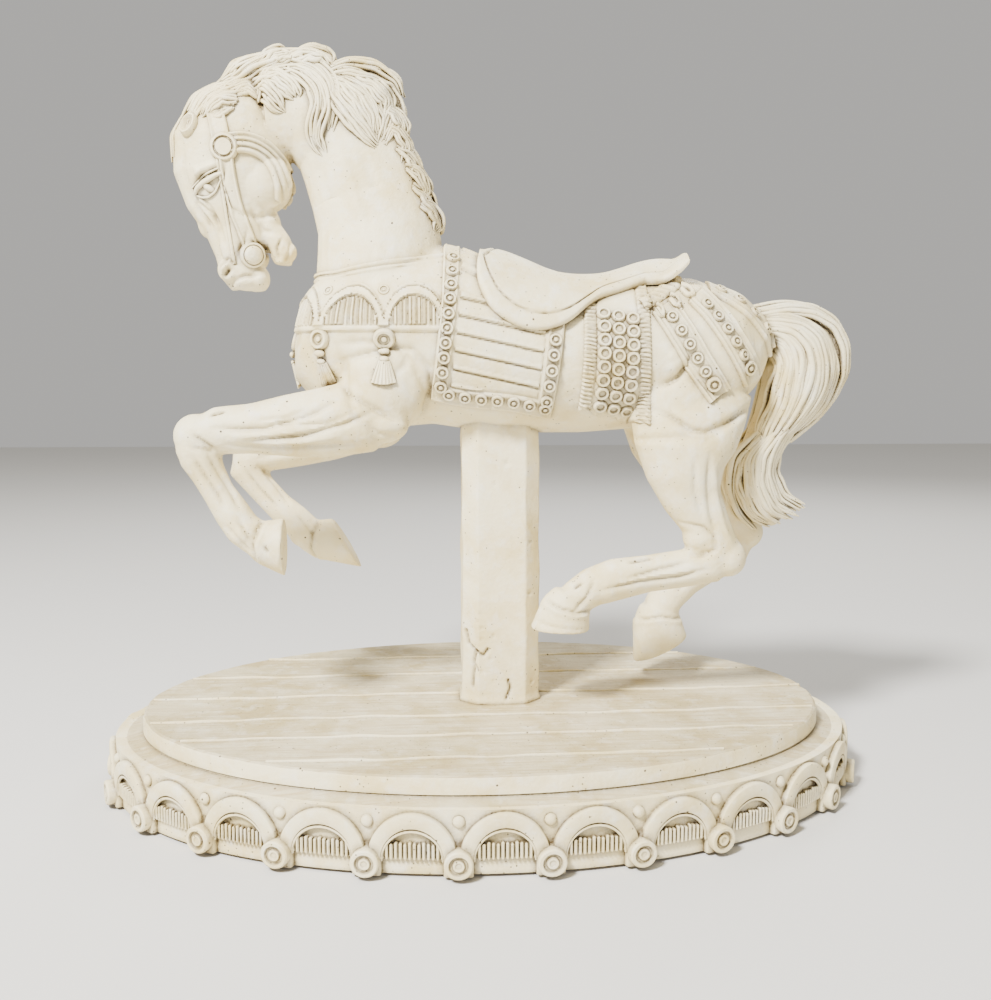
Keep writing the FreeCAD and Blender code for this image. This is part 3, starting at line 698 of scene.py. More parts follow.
def bay_wall(pitch):
    """The plain wall behind one arch, open at both ends, so that the bays close into one ring."""
    wall = add_block((-pitch / 2, 0, WALL_LOW), (pitch / 2, WALL_THICK, WALL_HIGH))
    edit(wall, lambda: bpy.ops.mesh.subdivide(number_cuts=7))
    edit(wall, lambda: bpy.ops.mesh.select_all(action="DESELECT"))
    for polygon in wall.data.polygons:
        polygon.select = abs(polygon.normal.x) > 0.9
    bpy.ops.object.mode_set(mode="EDIT")
    bpy.ops.mesh.select_mode(type="FACE")
    bpy.ops.mesh.delete(type="FACE")
    bpy.ops.mesh.select_mode(type="VERT")
    bpy.ops.object.mode_set(mode="OBJECT")
    return wall


def bay_arch(pitch):
    """The arch: a band's section spun through half a turn, then its two ends drawn down to the ground."""
    rise = WALL_HIGH - 0.8 - SPRINGING
    bpy.ops.object.select_all(action="DESELECT")
    bpy.ops.mesh.primitive_plane_add(
        size=MM, location=((pitch / 2 - ARCH_BAND / 2) * MM, -0.6 * MM, SPRINGING * MM))
    arch = settle_new((ARCH_BAND, 4.4, 1))
    edit(arch, lambda: bpy.ops.mesh.bevel(offset=1.1 * MM, segments=2, affect="VERTICES"),
         lambda: bpy.ops.mesh.spin(steps=24, angle=math.pi, center=(0, -0.6 * MM, SPRINGING * MM),
                                   axis=(0, 1, 0)))
    co = points_of(arch)
    high = co[:, 2] > SPRINGING * MM
    co[high, 2] = SPRINGING * MM + (co[high, 2] - SPRINGING * MM) * rise / (pitch / 2)
    set_points(arch, co)
    edit(arch, lambda: bpy.ops.mesh.select_all(action="DESELECT"))
    drop = (0, 0, (WALL_LOW - SPRINGING) * MM)
    for side in (-1, 1):
        for vertex in arch.data.vertices:
            vertex.select = vertex.co.z < SPRINGING * MM + 1e-6 and vertex.co.x * side > 0
        for edge in arch.data.edges:
            edge.select = all(arch.data.vertices[v].select for v in edge.vertices)
        for polygon in arch.data.polygons:
            polygon.select = False
        select_only(arch)
        bpy.ops.object.mode_set(mode="EDIT")
        bpy.ops.mesh.extrude_region_move(TRANSFORM_OT_translate={"value": drop})
        bpy.ops.mesh.edge_face_add()
        bpy.ops.object.mode_set(mode="OBJECT")
    return clean(arch)


def bay_bead(pitch):
    """A thin bead that follows the inside of the band."""
    bpy.ops.mesh.primitive_torus_add(
        major_segments=40, minor_segments=6, major_radius=(pitch / 2 - ARCH_BAND) * MM, minor_radius=0.7 * MM,
        location=(0, -1.6 * MM, SPRINGING * MM), rotation=(math.pi / 2, 0, 0))
    return edit(settle_new(), lambda: bpy.ops.mesh.bisect(
        plane_co=(0, 0, SPRINGING * MM), plane_no=(0, 0, 1), clear_inner=True, use_fill=True))


def bay_swag(pitch):
    """The swag of pleats inside the arch, on a plain ledge."""
    half = pitch / 2 - ARCH_BAND + 0.5
    pleats = [add_block((-half, -0.5, WALL_LOW + 5.2), (half, 1, WALL_LOW + 6.4))]
    count = round(2 * half / 1.75)
    step = 2 * half / count
    for k in range(count):
        x, top = -half + (k + 0.5) * step, WALL_LOW + 12.6 + 0.4 * math.sin(k * 2.1)
        rib = add_block((x - 0.62, -2.0, WALL_LOW + 6.2), (x + 0.62, 1, top))
        pleats.append(edit(rib, lambda: bpy.ops.mesh.bevel(offset=0.4 * MM, segments=1)))
    return pleats


def bay_rosette(pitch):
    """The rosette on the arcade's foot; a bay has only the one at its right-hand end."""
    bpy.ops.mesh.primitive_cylinder_add(
        vertices=28, radius=5.4 * MM, depth=7 * MM, location=(pitch / 2 * MM, -2.0 * MM, SPRINGING * MM),
        rotation=(math.pi / 2, 0, 0))
    rosette = settle_new()
    for polygon in rosette.data.polygons:
        polygon.select = polygon.normal.y < -0.9
    for part in (*rosette.data.edges, *rosette.data.vertices):
        part.select = False
    bpy.ops.object.mode_set(mode="EDIT")
    bpy.ops.mesh.select_mode(type="FACE")
    # each step draws the front face in, then moves it out or back
    for inset, lift in ((0.5, -0.6), (1.1, 0.0), (0.5, 1.1), (0.7, 0.0), (0.5, -0.9), (0.7, 0.0), (0.4, 0.4)):
        bpy.ops.mesh.inset(thickness=inset * MM, depth=0)
        bpy.ops.transform.translate(value=(0, lift * MM, 0))
    bpy.ops.mesh.select_mode(type="VERT")
    bpy.ops.object.mode_set(mode="OBJECT")
    return rosette


def model_bay(pitch):
    """One bay of the arcade, flat: X runs along the wall, -Y stands out of it, Z is up."""
    pieces = [bay_wall(pitch), bay_arch(pitch), bay_bead(pitch)]
    pleats = bay_swag(pitch)
    pieces += [bay_rosette(pitch)] + pleats
    bpy.ops.mesh.primitive_uv_sphere_add(
        segments=16, ring_count=10, radius=2.5 * MM,
        location=(pitch / 2 * MM, 0.2 * MM, (WALL_HIGH - 4.6) * MM))
    return join("arcade_bay", pieces + [settle_new((1, 0.85, 1))])


def model_plinth():
    place, pitch = oval_track(WALL_A, WALL_B, ARCH_COUNT)
    bay = model_bay(pitch)
    bays = []
    flat = points_of(bay) / MM
    for k in range(ARCH_COUNT):
        copy = copy_of(bay)
        co = flat.copy()
        # hand-made: no two arches stand quite alike
        relief = flat[:, 1] < -0.1
        co[:, 0] *= np.where(relief, 1 + 0.012 * math.sin(2.3 * k), 1)
        co[:, 2] = WALL_LOW + (co[:, 2] - WALL_LOW) * np.where(relief, 1 + 0.012 * math.sin(1.7 * k), 1)
        px, py, nx, ny = place((k + 0.5) * pitch - co[:, 0])
        z = np.minimum(co[:, 2], WALL_HIGH)
        set_points(copy, np.stack([px - nx * co[:, 1], py - ny * co[:, 1], z], 1) * MM)
        bays.append(copy)
    remove(bay)
    # the roof under the deck, and the boss that the nut pulls on
    bpy.ops.mesh.primitive_cylinder_add(
        vertices=160, radius=1.0, depth=8 * MM, location=(0, 0, PLINTH_TOP - 4.3 * MM))
    roof = settle_new(((WALL_A - 8) * MM, (WALL_B - 8) * MM, 1))
    bpy.ops.mesh.primitive_cylinder_add(vertices=48, radius=26 * MM, depth=11 * MM,
                                        location=(7 * MM, 0, PLINTH_LOW + 19 * MM))
    boss = settle_new()
    return clean(join("plinth_arcade", bays + [roof, boss]))


def model_deck():
    """The oval deck: a turned rim on a sloping foot, and a top of planks between thin raised lines."""
    a, b = 159.0, 106.0
    low, high = PLINTH_TOP / MM, DECK_TOP / MM
    bpy.ops.object.select_all(action="DESELECT")
    bpy.ops.mesh.primitive_circle_add(vertices=220, radius=1.0, location=(0, 0, low * MM), fill_type="NGON")
    deck = settle_new(((a + 7) * MM, (b + 4.5) * MM, 1))
    bpy.ops.object.mode_set(mode="EDIT")
    bpy.ops.mesh.select_all(action="SELECT")
    # each step of the rim's profile: how far it stands out from the oval both ways, and its height
    steps = [(7, 4.5, low), (3, 2, low + 0.7), (-0.6, -0.6, low + 2.0), (-0.9, -0.9, low + 2.5),
             (-0.1, -0.1, low + 2.9), (0, 0, low + 4.2), (0, 0, high - 1.6), (-0.3, -0.3, high - 0.6),
             (-1.3, -1.3, high), (-3, -3, high - 0.15)]
    for (a0, b0, z0), (a1, b1, z1) in zip(steps, steps[1:]):
        bpy.ops.mesh.extrude_region_move(TRANSFORM_OT_translate={"value": (0, 0, (z1 - z0) * MM)})
        bpy.ops.transform.resize(value=((a + a1) / (a + a0), (b + b1) / (b + b0), 1),
                                 center_override=(0, 0, z1 * MM))
    bpy.ops.object.mode_set(mode="OBJECT")
    # hand-made: the rim swells and dips a little on its way round, and is nicked at one end
    co = points_of(deck)
    turn = np.arctan2(co[:, 1] / b, co[:, 0] / a)
    side = (co[:, 2] > (low + 3) * MM) & (np.hypot(co[:, 0] / a, co[:, 1] / b) > 0.97 * MM)
    wobble = 0.25 * np.sin(9 * turn) + 0.2 * np.sin(23 * turn + 1) + 0.16 * np.sin(61 * turn) - 0.35
    wobble -= 2.2 * np.exp(-((turn - 0.02) / 0.022) ** 2)
    co[:, :2] *= 1 + np.where(side, wobble, 0)[:, None] / a
    set_points(deck, co)
    planks = []
    for y, wave in ((72, 0.4), (38, 1.3), (3, 2.2), (-31, 3.4), (-57, 4.1), (-84, 5.2)):
        reach = (a - 2.2) * math.sqrt(1 - (y / (b - 2.2)) ** 2)
        bpy.ops.object.select_all(action="DESELECT")
        bpy.ops.mesh.primitive_grid_add(x_subdivisions=150, y_subdivisions=6, size=1.0)
        line = bpy.context.active_object
        co = points_of(line)
        x, t = co[:, 0] * 2 * reach, co[:, 1] * 2
        sway = 0.7 * np.sin(x / 31 + wave) + 0.35 * np.sin(x / 9 + 2 * wave) + 0.2 * np.sin(x / 3.7 + wave)
        half = 0.95 + 0.3 * np.sin(x / 17 + wave)
        rise = (1.15 + 0.2 * np.sin(x / 6.3 + wave)) * np.maximum(1 - t * t, 0) - 0.35
        set_points(line, np.stack([x, y + sway + t * half, high - 0.15 + rise], 1) * MM)
        modify(line, "SOLIDIFY", thickness=0.6 * MM, offset=-1.0)
        planks.append(line)
    return deck, join("plank_lines", planks)


PITS_IN_THE_POST = 26


def model_post():
    """The column: an oblong with broad corners and a spread foot, melted a little, cracked and pitted."""
    low, high = DECK_TOP / MM - 0.2, BELLY / MM + 12
    column = add_block((-11, -15, low), (25, 15, high))
    bpy.ops.object.mode_set(mode="EDIT")
    bpy.ops.mesh.select_all(action="DESELECT")
    bpy.ops.mesh.select_mode(type="EDGE")
    mesh = bmesh.from_edit_mesh(column.data)
    for edge in mesh.edges:
        edge.select_set(abs(edge.verts[0].co.z - edge.verts[1].co.z) > 1 * MM)
    bpy.ops.mesh.bevel(offset=7 * MM, segments=1)
    bpy.ops.mesh.select_mode(type="VERT")
    bpy.ops.object.mode_set(mode="OBJECT")
    column.data.remesh_voxel_size = 0.8 * MM
    select_only(column)
    bpy.ops.object.voxel_remesh()
    modify(column, "SMOOTH", factor=0.5, iterations=5)
    co, normal = points_of(column), normals_of(column)
    x, y, h = co[:, 0] / MM, co[:, 1] / MM, co[:, 2] / MM - DECK_TOP / MM
    push = 0.35 * np.sin(h / 11 + x / 9) * np.sin(h / 23 + y / 7)
    push += 0.18 * np.sin(h / 4.1 + x / 3) * np.sin(y / 3.3)
    foot = np.clip(1 - h / 4.5, 0, 1) ** 2 * 1.6
    cracks = [[(-9.5, 34), (-8.5, 28), (-5.5, 25), (-6.5, 19), (-4.5, 16)],
              [(-5.5, 25), (-1.5, 23), (0.5, 26)], [(9, 2), (11, 7), (10, 11)], [(-6.8, 8), (-6.2, 17)]]
    for line in cracks:
        d, _ = line_distance(x, h, line)
        push -= np.where(y < 0, 1.5 * np.exp(-(d / 0.6) ** 2), 0)
    for _ in range(PITS_IN_THE_POST):
        cx, ch, side = chance.uniform(-8, 22), chance.uniform(4, 118), chance.choice((-1, 1))
        d = np.hypot(x - cx, h - ch)
        depth, width = chance.uniform(0.5, 0.9), chance.uniform(0.6, 1.1)
        push -= np.where(y * side > 0, depth * np.exp(-(d / width) ** 2), 0)
    set_points(column, co + normal * ((push + foot) * MM)[:, None])
    return column


finish_piece(model_plinth(), ["plinth"], angle=35)
deck, plank_lines = model_deck()
deck.name = "planked_deck"
finish_piece(deck, ["deck"], material=DECK_PLASTER, angle=35)
# the rim is painted like the horse, and only the planks are stained
deck.data.materials.append(PLASTER)
for polygon in deck.data.polygons:
    polygon.material_index = int(polygon.normal.z < 0.75)
finish_piece(plank_lines, material=PLASTER)
column = model_post()
column.name = "oblong_post"
finish_piece(column, ["post"])


# ---------------------------------------------------------------- feeling for the surface

class Skin:
    """The surface of a finished piece, to lay other pieces on."""

    def __init__(self, *objects):
        corners, faces, normals = [], [], []
        for obj in objects:
            first = len(corners)
            corners += [v.co.copy() for v in obj.data.vertices]
            vertex_normals = normals_of(obj)
            for polygon in obj.data.polygons:
                faces.append([first + k for k in polygon.vertices])
                normals.append(vertex_normals[list(polygon.vertices)].mean(0))
        self.tree = BVHTree.FromPolygons(corners, faces)
        self.normals = normals

    def meet(self, origin, way):
        """Where a line first meets the skin, with the smooth normal there, or None."""
        point, _, face, _ = self.tree.ray_cast(origin, way)
        if point is None:
            return None
        return point, Vector(self.normals[face]).normalized()

    def beside(self, x, h, side):
        """The skin seen from one side at x and height h."""
        return self.meet(at(x, side * 120, h), Vector((0, -side, 0)))

    def nearest(self, point):
        place, _, face, _ = self.tree.find_nearest(point)
        return place, Vector(self.normals[face]).normalized()


def add_strands(name, strands, sides=2):
    """Tapered strands as one bevelled curve, turned into a mesh: each is a list of (point, radius in mm)."""
    curve = bpy.data.curves.new(name, "CURVE")
    curve.dimensions = "3D"
    curve.bevel_depth = MM
    curve.bevel_resolution = sides
    curve.use_fill_caps = True
    curve.resolution_u = 3
    for strand in strands:
        spline = curve.splines.new("NURBS")
        spline.points.add(len(strand) - 1)
        for point, (place, radius) in zip(spline.points, strand):
            point.co = (*place, 1.0)
            point.radius = radius
        spline.order_u = 3
        spline.use_endpoint_u = True
    obj = bpy.data.objects.new(name, curve)
    bpy.context.scene.collection.objects.link(obj)
    select_only(obj)
    bpy.ops.object.convert(target="MESH")
    return bpy.context.active_object


def along(route, t):
    """A point on a broken line at the share t of its corners."""
    spot = min(max(t, 0.0), 1.0) * (len(route) - 1)
    k = min(int(spot), len(route) - 2)
    f = spot - k
    return tuple(a + (b - a) * f for a, b in zip(route[k], route[k + 1]))


def comb(skin, routes, side, count, spread, radius, sunk=0.35, steps=8, flare=0.5, lost_y=3.0):
    """Strands combed along each lock's route over the skin: a bundle of them that ends in a point."""
    strands = []
    for route in routes:
        layer = chance.uniform(0.0, 1.6)
        for n in range(count):
            lane = (n + 0.5) / count * 2 - 1
            phase, wave = chance.uniform(0, 6.3), chance.uniform(0.25, 0.7)
            start, end = chance.uniform(0.0, 0.08), chance.uniform(0.9, 1.02)
            thick = radius * chance.uniform(0.8, 1.2)
            last_y, strand = None, []
            for k in range(steps + 1):
                t = start + (end - start) * k / steps
                x, h = along(route, t)
                x1, h1 = along(route, min(t + 0.06, 1.0))
                x0, h0 = along(route, max(t - 0.06, 0.0))
                size = math.hypot(x1 - x0, h1 - h0) or 1.0
                bulge = spread * (math.sin(math.pi * (0.12 + 0.83 * k / steps)) ** flare)
                shift = lane * bulge + wave * math.sin(phase + 7 * t)
                shift += 0.35 * math.sin(2.1 * phase + 19 * t)
                x, h = x - (h1 - h0) / size * shift, h + (x1 - x0) / size * shift
                taper = 0.3 + 0.75 * math.sin(math.pi * min(1.0, 0.16 + 0.84 * k / steps)) ** 0.6
                if k == steps:
                    taper = 0.22
                met = skin.beside(x, h, side)
                if met:
                    y = met[0].y / MM
                else:
                    y = last_y * 0.8 if last_y is not None else side * lost_y
                last_y = y
                lift = side * thick * taper * (0.45 + 0.5 * math.sin(phase * 3 + n)) * (1 - sunk)
                lift += side * layer * math.sin(math.pi * k / steps)
                strand.append((at(x, y + lift, h), thick * taper))
            strands.append(strand)
    return strands


# ---------------------------------------------------------------- neck and head

HEAD_CUTS = [
    (0, 1.5, 0.9, [(-128.5, 108.5), (-123.5, 113), (-116.5, 115.5)]),
    (0, 1.3, 1.0, [(-128.5, 107.5), (-127.5, 102.5), (-122, 98), (-118, 93)]),
    (0, -1.0, 1.3, [(-128.5, 112.5), (-123, 116.4), (-116, 118.6)]),
    (0, 2.6, 1.35, [(-117.5, 70.5), (-115.2, 72), (-113.6, 74.5)]),
    (0, 1.0, 0.9, [(-118.9, 70), (-118.6, 75), (-114.5, 78), (-110, 75)]),
    (0, -0.8, 1.0, [(-118, 69.5), (-117.5, 74), (-114.3, 76.8), (-111.4, 74.5)]),
    (0, 3.4, 1.3, [(-104, 86), (-99.5, 83), (-97.2, 78), (-96.6, 71)]),
    (0, 1.0, 0.9, [(-114, 68), (-108, 71), (-101, 71.5)]),
    (0, 0.9, 1.1, [(-132.5, 128), (-132.5, 116), (-129.6, 103), (-124, 96), (-119, 86)]),
    (0, 0.9, 1.4, [(-107, 98), (-101.5, 96), (-95.5, 98.5), (-91, 103)]),
    (0, 1.0, 1.2, [(-104, 101), (-102, 96), (-99, 91), (-94, 90)]),
    (0, 0.9, 1.2, [(-113, 120), (-115, 110), (-112, 100), (-106, 96)]),
    (0, 0.9, 1.1, [(-121, 99), (-117.5, 91), (-115.5, 83)]),
    (0, 0.8, 1.0, [(-106, 91), (-107, 86), (-110, 81)]),
    (0, 1.1, 0.8, [(-91, 88), (-93.5, 83), (-93, 78)]), (0, 0.9, 0.8, [(-87.5, 87), (-88, 82), (-90, 77)]),
    (0, 1.0, 0.9, [(-129, 102), (-126, 97), (-121, 92)]),
    (0, 0.9, 0.8, [(-126, 106), (-121, 99.5), (-118.5, 94)]),
    (0, 0.9, 2.6, [(-75, 128), (-72, 112), (-66, 96), (-62, 80)]),
    (0, 0.6, 3.0, [(-54, 122), (-48, 106), (-40, 92)]),
    (0, -0.8, 3.4, [(-66, 126), (-60, 110), (-56, 94)]),
]


def model_head():
    lumps = [limb(NECK, sides=28), limb(HEAD, sides=28), limb(JAW), limb(CREST)]
    lumps += pair(-100.5, 5.5, 113, 13.4, 8.2, 13) + pair(-122.3, 11.2, 114.5, 6.5, 3.8, 3.0, 22)
    lumps += pair(-115.5, 5.2, 74, 4.6, 3.8, 5.2) + pair(-113, 7, 88, 5.5, 3.6, 12, 4)
    lumps += [mass(-108, 0, 69.5, 9.4, 7.4, 4.4, 4), mass(-103, 0, 70.5, 5.4, 6.6, 6.2)]
    lumps += [mass(-89.6, 0, 82.5, 4.2, 6, 4.6)]
    lumps += [mass(-98.6, 0, 96, 6, 7, 8, -25), mass(-122, 0, 104, 7, 6, 16, 12)]
    head = fuse("horse_neck_and_head", lumps, 0.62, 6)
    carve(head, HEAD_CUTS)
    tilt = math.radians(NECK_JOINT_TILT)
    head, low = split(head, at(NECK_JOINT[0], 0, NECK_JOINT[1] - 4), (-math.sin(tilt), 0, math.cos(tilt)))
    remove(low)
    return head


# upper lid, the fold above it and the lower lid: radius and route
EYELIDS = [
    (1.25, [(-127.8, 106.2), (-126.4, 108.2), (-123, 110.8), (-119.4, 112.6), (-115.6, 114.2)]),
    (0.6, [(-129.0, 108.6), (-126.6, 111), (-123, 113.6), (-119, 115.6), (-114.6, 117)]),
    (0.55, [(-127.2, 105.6), (-125, 104.4), (-121.6, 104.4), (-118.4, 106.6), (-115.8, 112)]),
]


def model_eyes(skin):
    """Eyes under heavy lids: a domed ball, a slanting upper lid, a fold above it and a lower lid."""
    ball = turned("eyeball", EYEBALL, 16)
    edit(ball, lambda: bpy.ops.transform.resize(value=(1.0, 0.5, 1.0), center_override=(0, 0, 0)))
    lids = stamp(ball, [(-121.4, 108.2, side, side * 35, 1.0) for side in (-1, 1)], skin)
    remove(ball)
    strands = []
    for side in (-1, 1):
        for radius, route in EYELIDS:
            rows = []
            for k in range(9):
                point, out = skin.beside(*along(route, k / 8), side)
                taper = 0.5 + 0.5 * math.sin(math.pi * (0.12 + 0.76 * k / 8))
                rows.append((point + out * (0.45 * MM), radius * taper))
            strands.append(rows)
    return join("eyes", lids + [add_strands("eyelids", strands, sides=3)])


MANE_LOCKS = [
    [(-84, 166), (-94, 164), (-104, 159), (-113, 153), (-117, 149)],
    [(-84, 162), (-94, 160), (-105, 155), (-113, 149)],
    [(-88, 157), (-98, 156), (-107, 152), (-111, 147)],
    [(-110, 150), (-104, 154), (-97, 150), (-92, 144), (-88, 140)],
    [(-98, 158), (-90, 155), (-85, 150), (-83, 146)],
    [(-90, 162), (-80, 158), (-74, 152), (-72, 144), (-75, 136), (-75, 129), (-71, 123)],
    [(-85, 165), (-73, 160), (-68, 152), (-67, 143), (-69, 133)],
    [(-80, 160), (-74, 152), (-71, 142), (-73, 132)],
    [(-98, 162), (-92, 167), (-85, 167.5)], [(-86, 164), (-78, 168), (-71, 167), (-67, 162)],
    [(-68, 160), (-58, 162.5), (-49, 161), (-41, 158), (-37, 151)],
    [(-70, 157), (-60, 153), (-52, 147), (-47, 139), (-46, 131)],
    [(-68, 152), (-62, 143), (-56, 135), (-48, 127)], [(-64, 156), (-56, 149), (-51, 140), (-49, 131)],
    [(-59, 159), (-49, 155), (-43, 148), (-43, 140)],
    [(-52, 158), (-44, 152), (-40, 146), (-43, 136), (-46, 128)],
    [(-46, 145), (-40, 143), (-36, 138), (-38, 131)], [(-44, 136), (-38, 134), (-34, 128), (-37, 120)],
    [(-40, 127), (-34, 125), (-30, 119), (-33, 112)], [(-36, 119), (-30, 117), (-26, 110), (-28, 104)],
    [(-33, 111), (-27, 108), (-23, 102), (-26, 97)], [(-29, 104), (-24, 101), (-20.5, 95), (-22, 91)],
]
FORELOCK = [
    [(-109, 150), (-116, 149.5), (-122, 147), (-127, 141), (-129, 135)],
    [(-108, 146), (-115, 146), (-120, 143), (-123.5, 138)],
    [(-107, 152), (-112, 151), (-118, 148.5), (-125, 145)],
    [(-109, 143), (-114, 142.5), (-118, 140), (-121, 137.5)],
]


CROWN = [
    (41, 38.4), (43.3, 41.1), (47.8, 42), (53.8, 38.9), (59.3, 34.9), (65, 32.1), (68.7, 32.5),
    (75, 32.2), (82, 29.2), (89, 27.5),
    (98, 27.7), (105.5, 27.1), (115.3, 25), (123, 25.4), (136.9, 23.7), (145, 21.8), (149.8, 23.6),
    (157.5, 27.7), (167.5, 30.7), (179, 34.4),
]


def crown_strands(skin, first, last, lanes, radius, steps):
    """Locks combed forward over the top of the head, in lanes from side to side."""
    middle_x, middle_h = -100, 140
    turns, reaches = zip(*CROWN)
    strands = []
    for lane in lanes:
        phase, strand = chance.uniform(0, 6.3), []
        a, b = first + chance.uniform(-6, 6), last + chance.uniform(-5, 5)
        for k in range(steps + 1):
            turn = a + (b - a) * k / steps
            way = Vector((math.cos(math.radians(turn)), 0, math.sin(math.radians(turn))))
            y = lane + 0.7 * math.sin(phase + 5 * k / steps)
            middle = at(middle_x, y, middle_h)
            met = skin.meet(middle + way * 0.06, -way)
            if met is None:
                continue
            reach = (met[0] - middle).length / MM + 0.5
            goal = float(np.interp(turn, turns, reaches)) - radius
            reach += max(0.0, min(goal - reach, 6.0)) * math.exp(-(lane / 7) ** 2) + 0.4 * math.sin(phase * 5)
            taper = 0.3 + 0.8 * math.sin(math.pi * (0.1 + 0.86 * k / steps)) ** 0.6
            strand.append((middle + way * reach * MM, radius * taper))
        if len(strand) > 4:
            strands.append(strand)
    return strands


def model_mane(skin):
    strands = []
    for side in (-1, 1):
        strands += comb(skin, MANE_LOCKS[:16], side, 8, 4.6, 1.05, steps=10)
        strands += comb(skin, MANE_LOCKS[16:], side, 6, 3.2, 0.95, steps=7)
        strands += comb(skin, FORELOCK, side, 8, 3.4, 1.0)
    lanes = [1.5 * k - 9.75 for k in range(14)]
    strands += crown_strands(skin, 46, 92, lanes, 1.15, 9)
    strands += crown_strands(skin, 74, 140, lanes, 1.1, 10)
    strands += crown_strands(skin, 142, 178, lanes, 1.05, 8)
    strands += crown_strands(skin, 172, 204, [-4.2, -2.8, -1.4, 0, 1.4, 2.8, 4.2], 0.75, 9)
    return add_strands("horse_mane", strands)


# ---------------------------------------------------------------- tail

TAIL_CORE = [
    (118, 51, 6, 6), (128, 51.5, 7.5, 7.5), (139, 49, 10.5, 10), (148, 42, 14.5, 13), (151, 30, 18, 14.5),
    (147, 16, 16, 13.5), (138.5, 4, 10.5, 11), (133, -6, 9, 9), (129, -16, 9, 8.5), (130, -28, 10, 8.5),
    (136, -37, 9.5, 7), (142, -42, 4, 4),
]
TAIL_OUTER = [
    (124, 57), (141, 60), (155, 58.5), (166, 52.5), (171.5, 42),
    (172, 29), (167.5, 17), (158, 5), (144, -6),
]
TAIL_INNER = [
    (126, 45), (133, 42.5), (137, 38), (138, 30), (136, 22),
    (134, 14), (131, 6), (129, 0), (128, -6),
]
LOW_TAIL_OUTER = [(146, 2), (139, -10), (138, -19), (144, -29), (156, -36)]
LOW_TAIL_MIDDLE = [(137, 2), (128, -12), (128, -24), (135, -37), (149, -42)]
LOW_TAIL_INNER = [(131, 2), (119, -12), (117.5, -25), (122, -38), (132, -47)]


def between(first, second, share):
    return [tuple(a + (b - a) * share for a, b in zip(p, q)) for p, q in zip(first, second)]


def model_tail():
    core = fuse("tail_core", [limb(TAIL_CORE)], 0.8, 8)
    skin = Skin(core)
    strands = []
    lanes = [k / 9 for k in range(10)]
    low = [between(first, second, share)
           for first, second in ((LOW_TAIL_OUTER, LOW_TAIL_MIDDLE), (LOW_TAIL_MIDDLE, LOW_TAIL_INNER))
           for share in (0, 0.33, 0.66)] + [LOW_TAIL_INNER]
    for side in (-1, 1):
        high = [between(TAIL_OUTER, TAIL_INNER, share) for share in lanes]
        strands += comb(skin, high, side, 4, 2.4, 1.45, steps=14, lost_y=2)
        strands += comb(skin, low, side, 4, 2.2, 1.35, steps=9, lost_y=2)
    # two layers of locks along the tail's back, drawn in towards its middle at both sides
    for dx, dh in ((0.6, 0.6), (-1.2, -1.0)):
        route = [(x + dx, h + dh) for x, h in TAIL_OUTER]
        for y in (-7, -4, -1, 2, 5, 8):
            phase, strand, inwards = chance.uniform(0, 6.3), [], 1 - abs(y) * 0.012
            for k in range(17):
                x, h = along(route, k / 16)
                sway = 0.8 * math.sin(phase + 5 * k / 16)
                place = at(150 + (x - 150) * inwards, y + sway, 25 + (h - 25) * inwards)
                taper = 0.35 + 0.65 * math.sin(math.pi * (0.1 + 0.86 * k / 16)) ** 0.5
                strand.append((place, 1.5 * taper))
            strands.append(strand)
    return join("horse_tail", [core, add_strands("tail_strands", strands)])


# ---------------------------------------------------------------- tack: sheets and stamps laid on the horse

def lay_sheet(name, spot, columns, rows, relief, sink=0.8):
    """A moulded sheet: a flat grid laid on the skin, then drawn up into a closed relief.

    spot(s, t) gives a point of the skin, the way out, and its two drawing coordinates (x, h) in millimetres.
    relief(x, h, s, t) gives how far each place stands out, in millimetres.
    """
    bpy.ops.object.select_all(action="DESELECT")
    bpy.ops.mesh.primitive_grid_add(x_subdivisions=columns, y_subdivisions=rows, size=1.0)
    sheet = bpy.context.active_object
    flat = points_of(sheet)
    s, t = flat[:, 0] + 0.5, flat[:, 1] + 0.5
    under, out, drawn = np.empty_like(flat), np.empty_like(flat), np.empty((len(flat), 2))
    for k in range(len(flat)):
        point, way, x, h = spot(float(s[k]), float(t[k]))
        under[k], out[k], drawn[k] = point, way, (x, h)
    rise = relief(drawn[:, 0], drawn[:, 1], s, t)
    depth = sink(s, t) if callable(sink) else sink
    set_points(sheet, under - out * (depth * MM if np.isscalar(depth) else depth[:, None] * MM))
    top = sheet.data.attributes.new("top", "FLOAT_VECTOR", "POINT")
    top.data.foreach_set("vector", (under + out * rise[:, None] * MM).ravel())
    edit(sheet, lambda: bpy.ops.mesh.extrude_region_move())
    lifted = np.empty(len(sheet.data.vertices), bool)
    sheet.data.vertices.foreach_get("select", lifted)
    goal = np.empty(len(sheet.data.vertices) * 3)
    sheet.data.attributes["top"].data.foreach_get("vector", goal)
    co = points_of(sheet)
    co[lifted] = goal.reshape(-1, 3)[lifted]
    set_points(sheet, co)
    sheet.data.attributes.remove(sheet.data.attributes["top"])
    edit(sheet, lambda: bpy.ops.mesh.normals_make_consistent(inside=False))
    sheet.name = name
    return sheet


def length_of(route):
    return sum(math.dist(p, q) for p, q in zip(route, route[1:]))


def walk(route, share):
    """The point at a share of a broken line's length, and the line's direction there."""
    goal = min(max(share, 0.0), 1.0) * length_of(route)
    for p, q in zip(route, route[1:]):
        run = math.dist(p, q)
        if goal <= run or q == route[-1]:
            f = goal / run
            dx, dh = q[0] - p[0], q[1] - p[1]
            return (p[0] + dx * f, p[1] + dh * f), (dx / run, dh / run)
        goal -= run


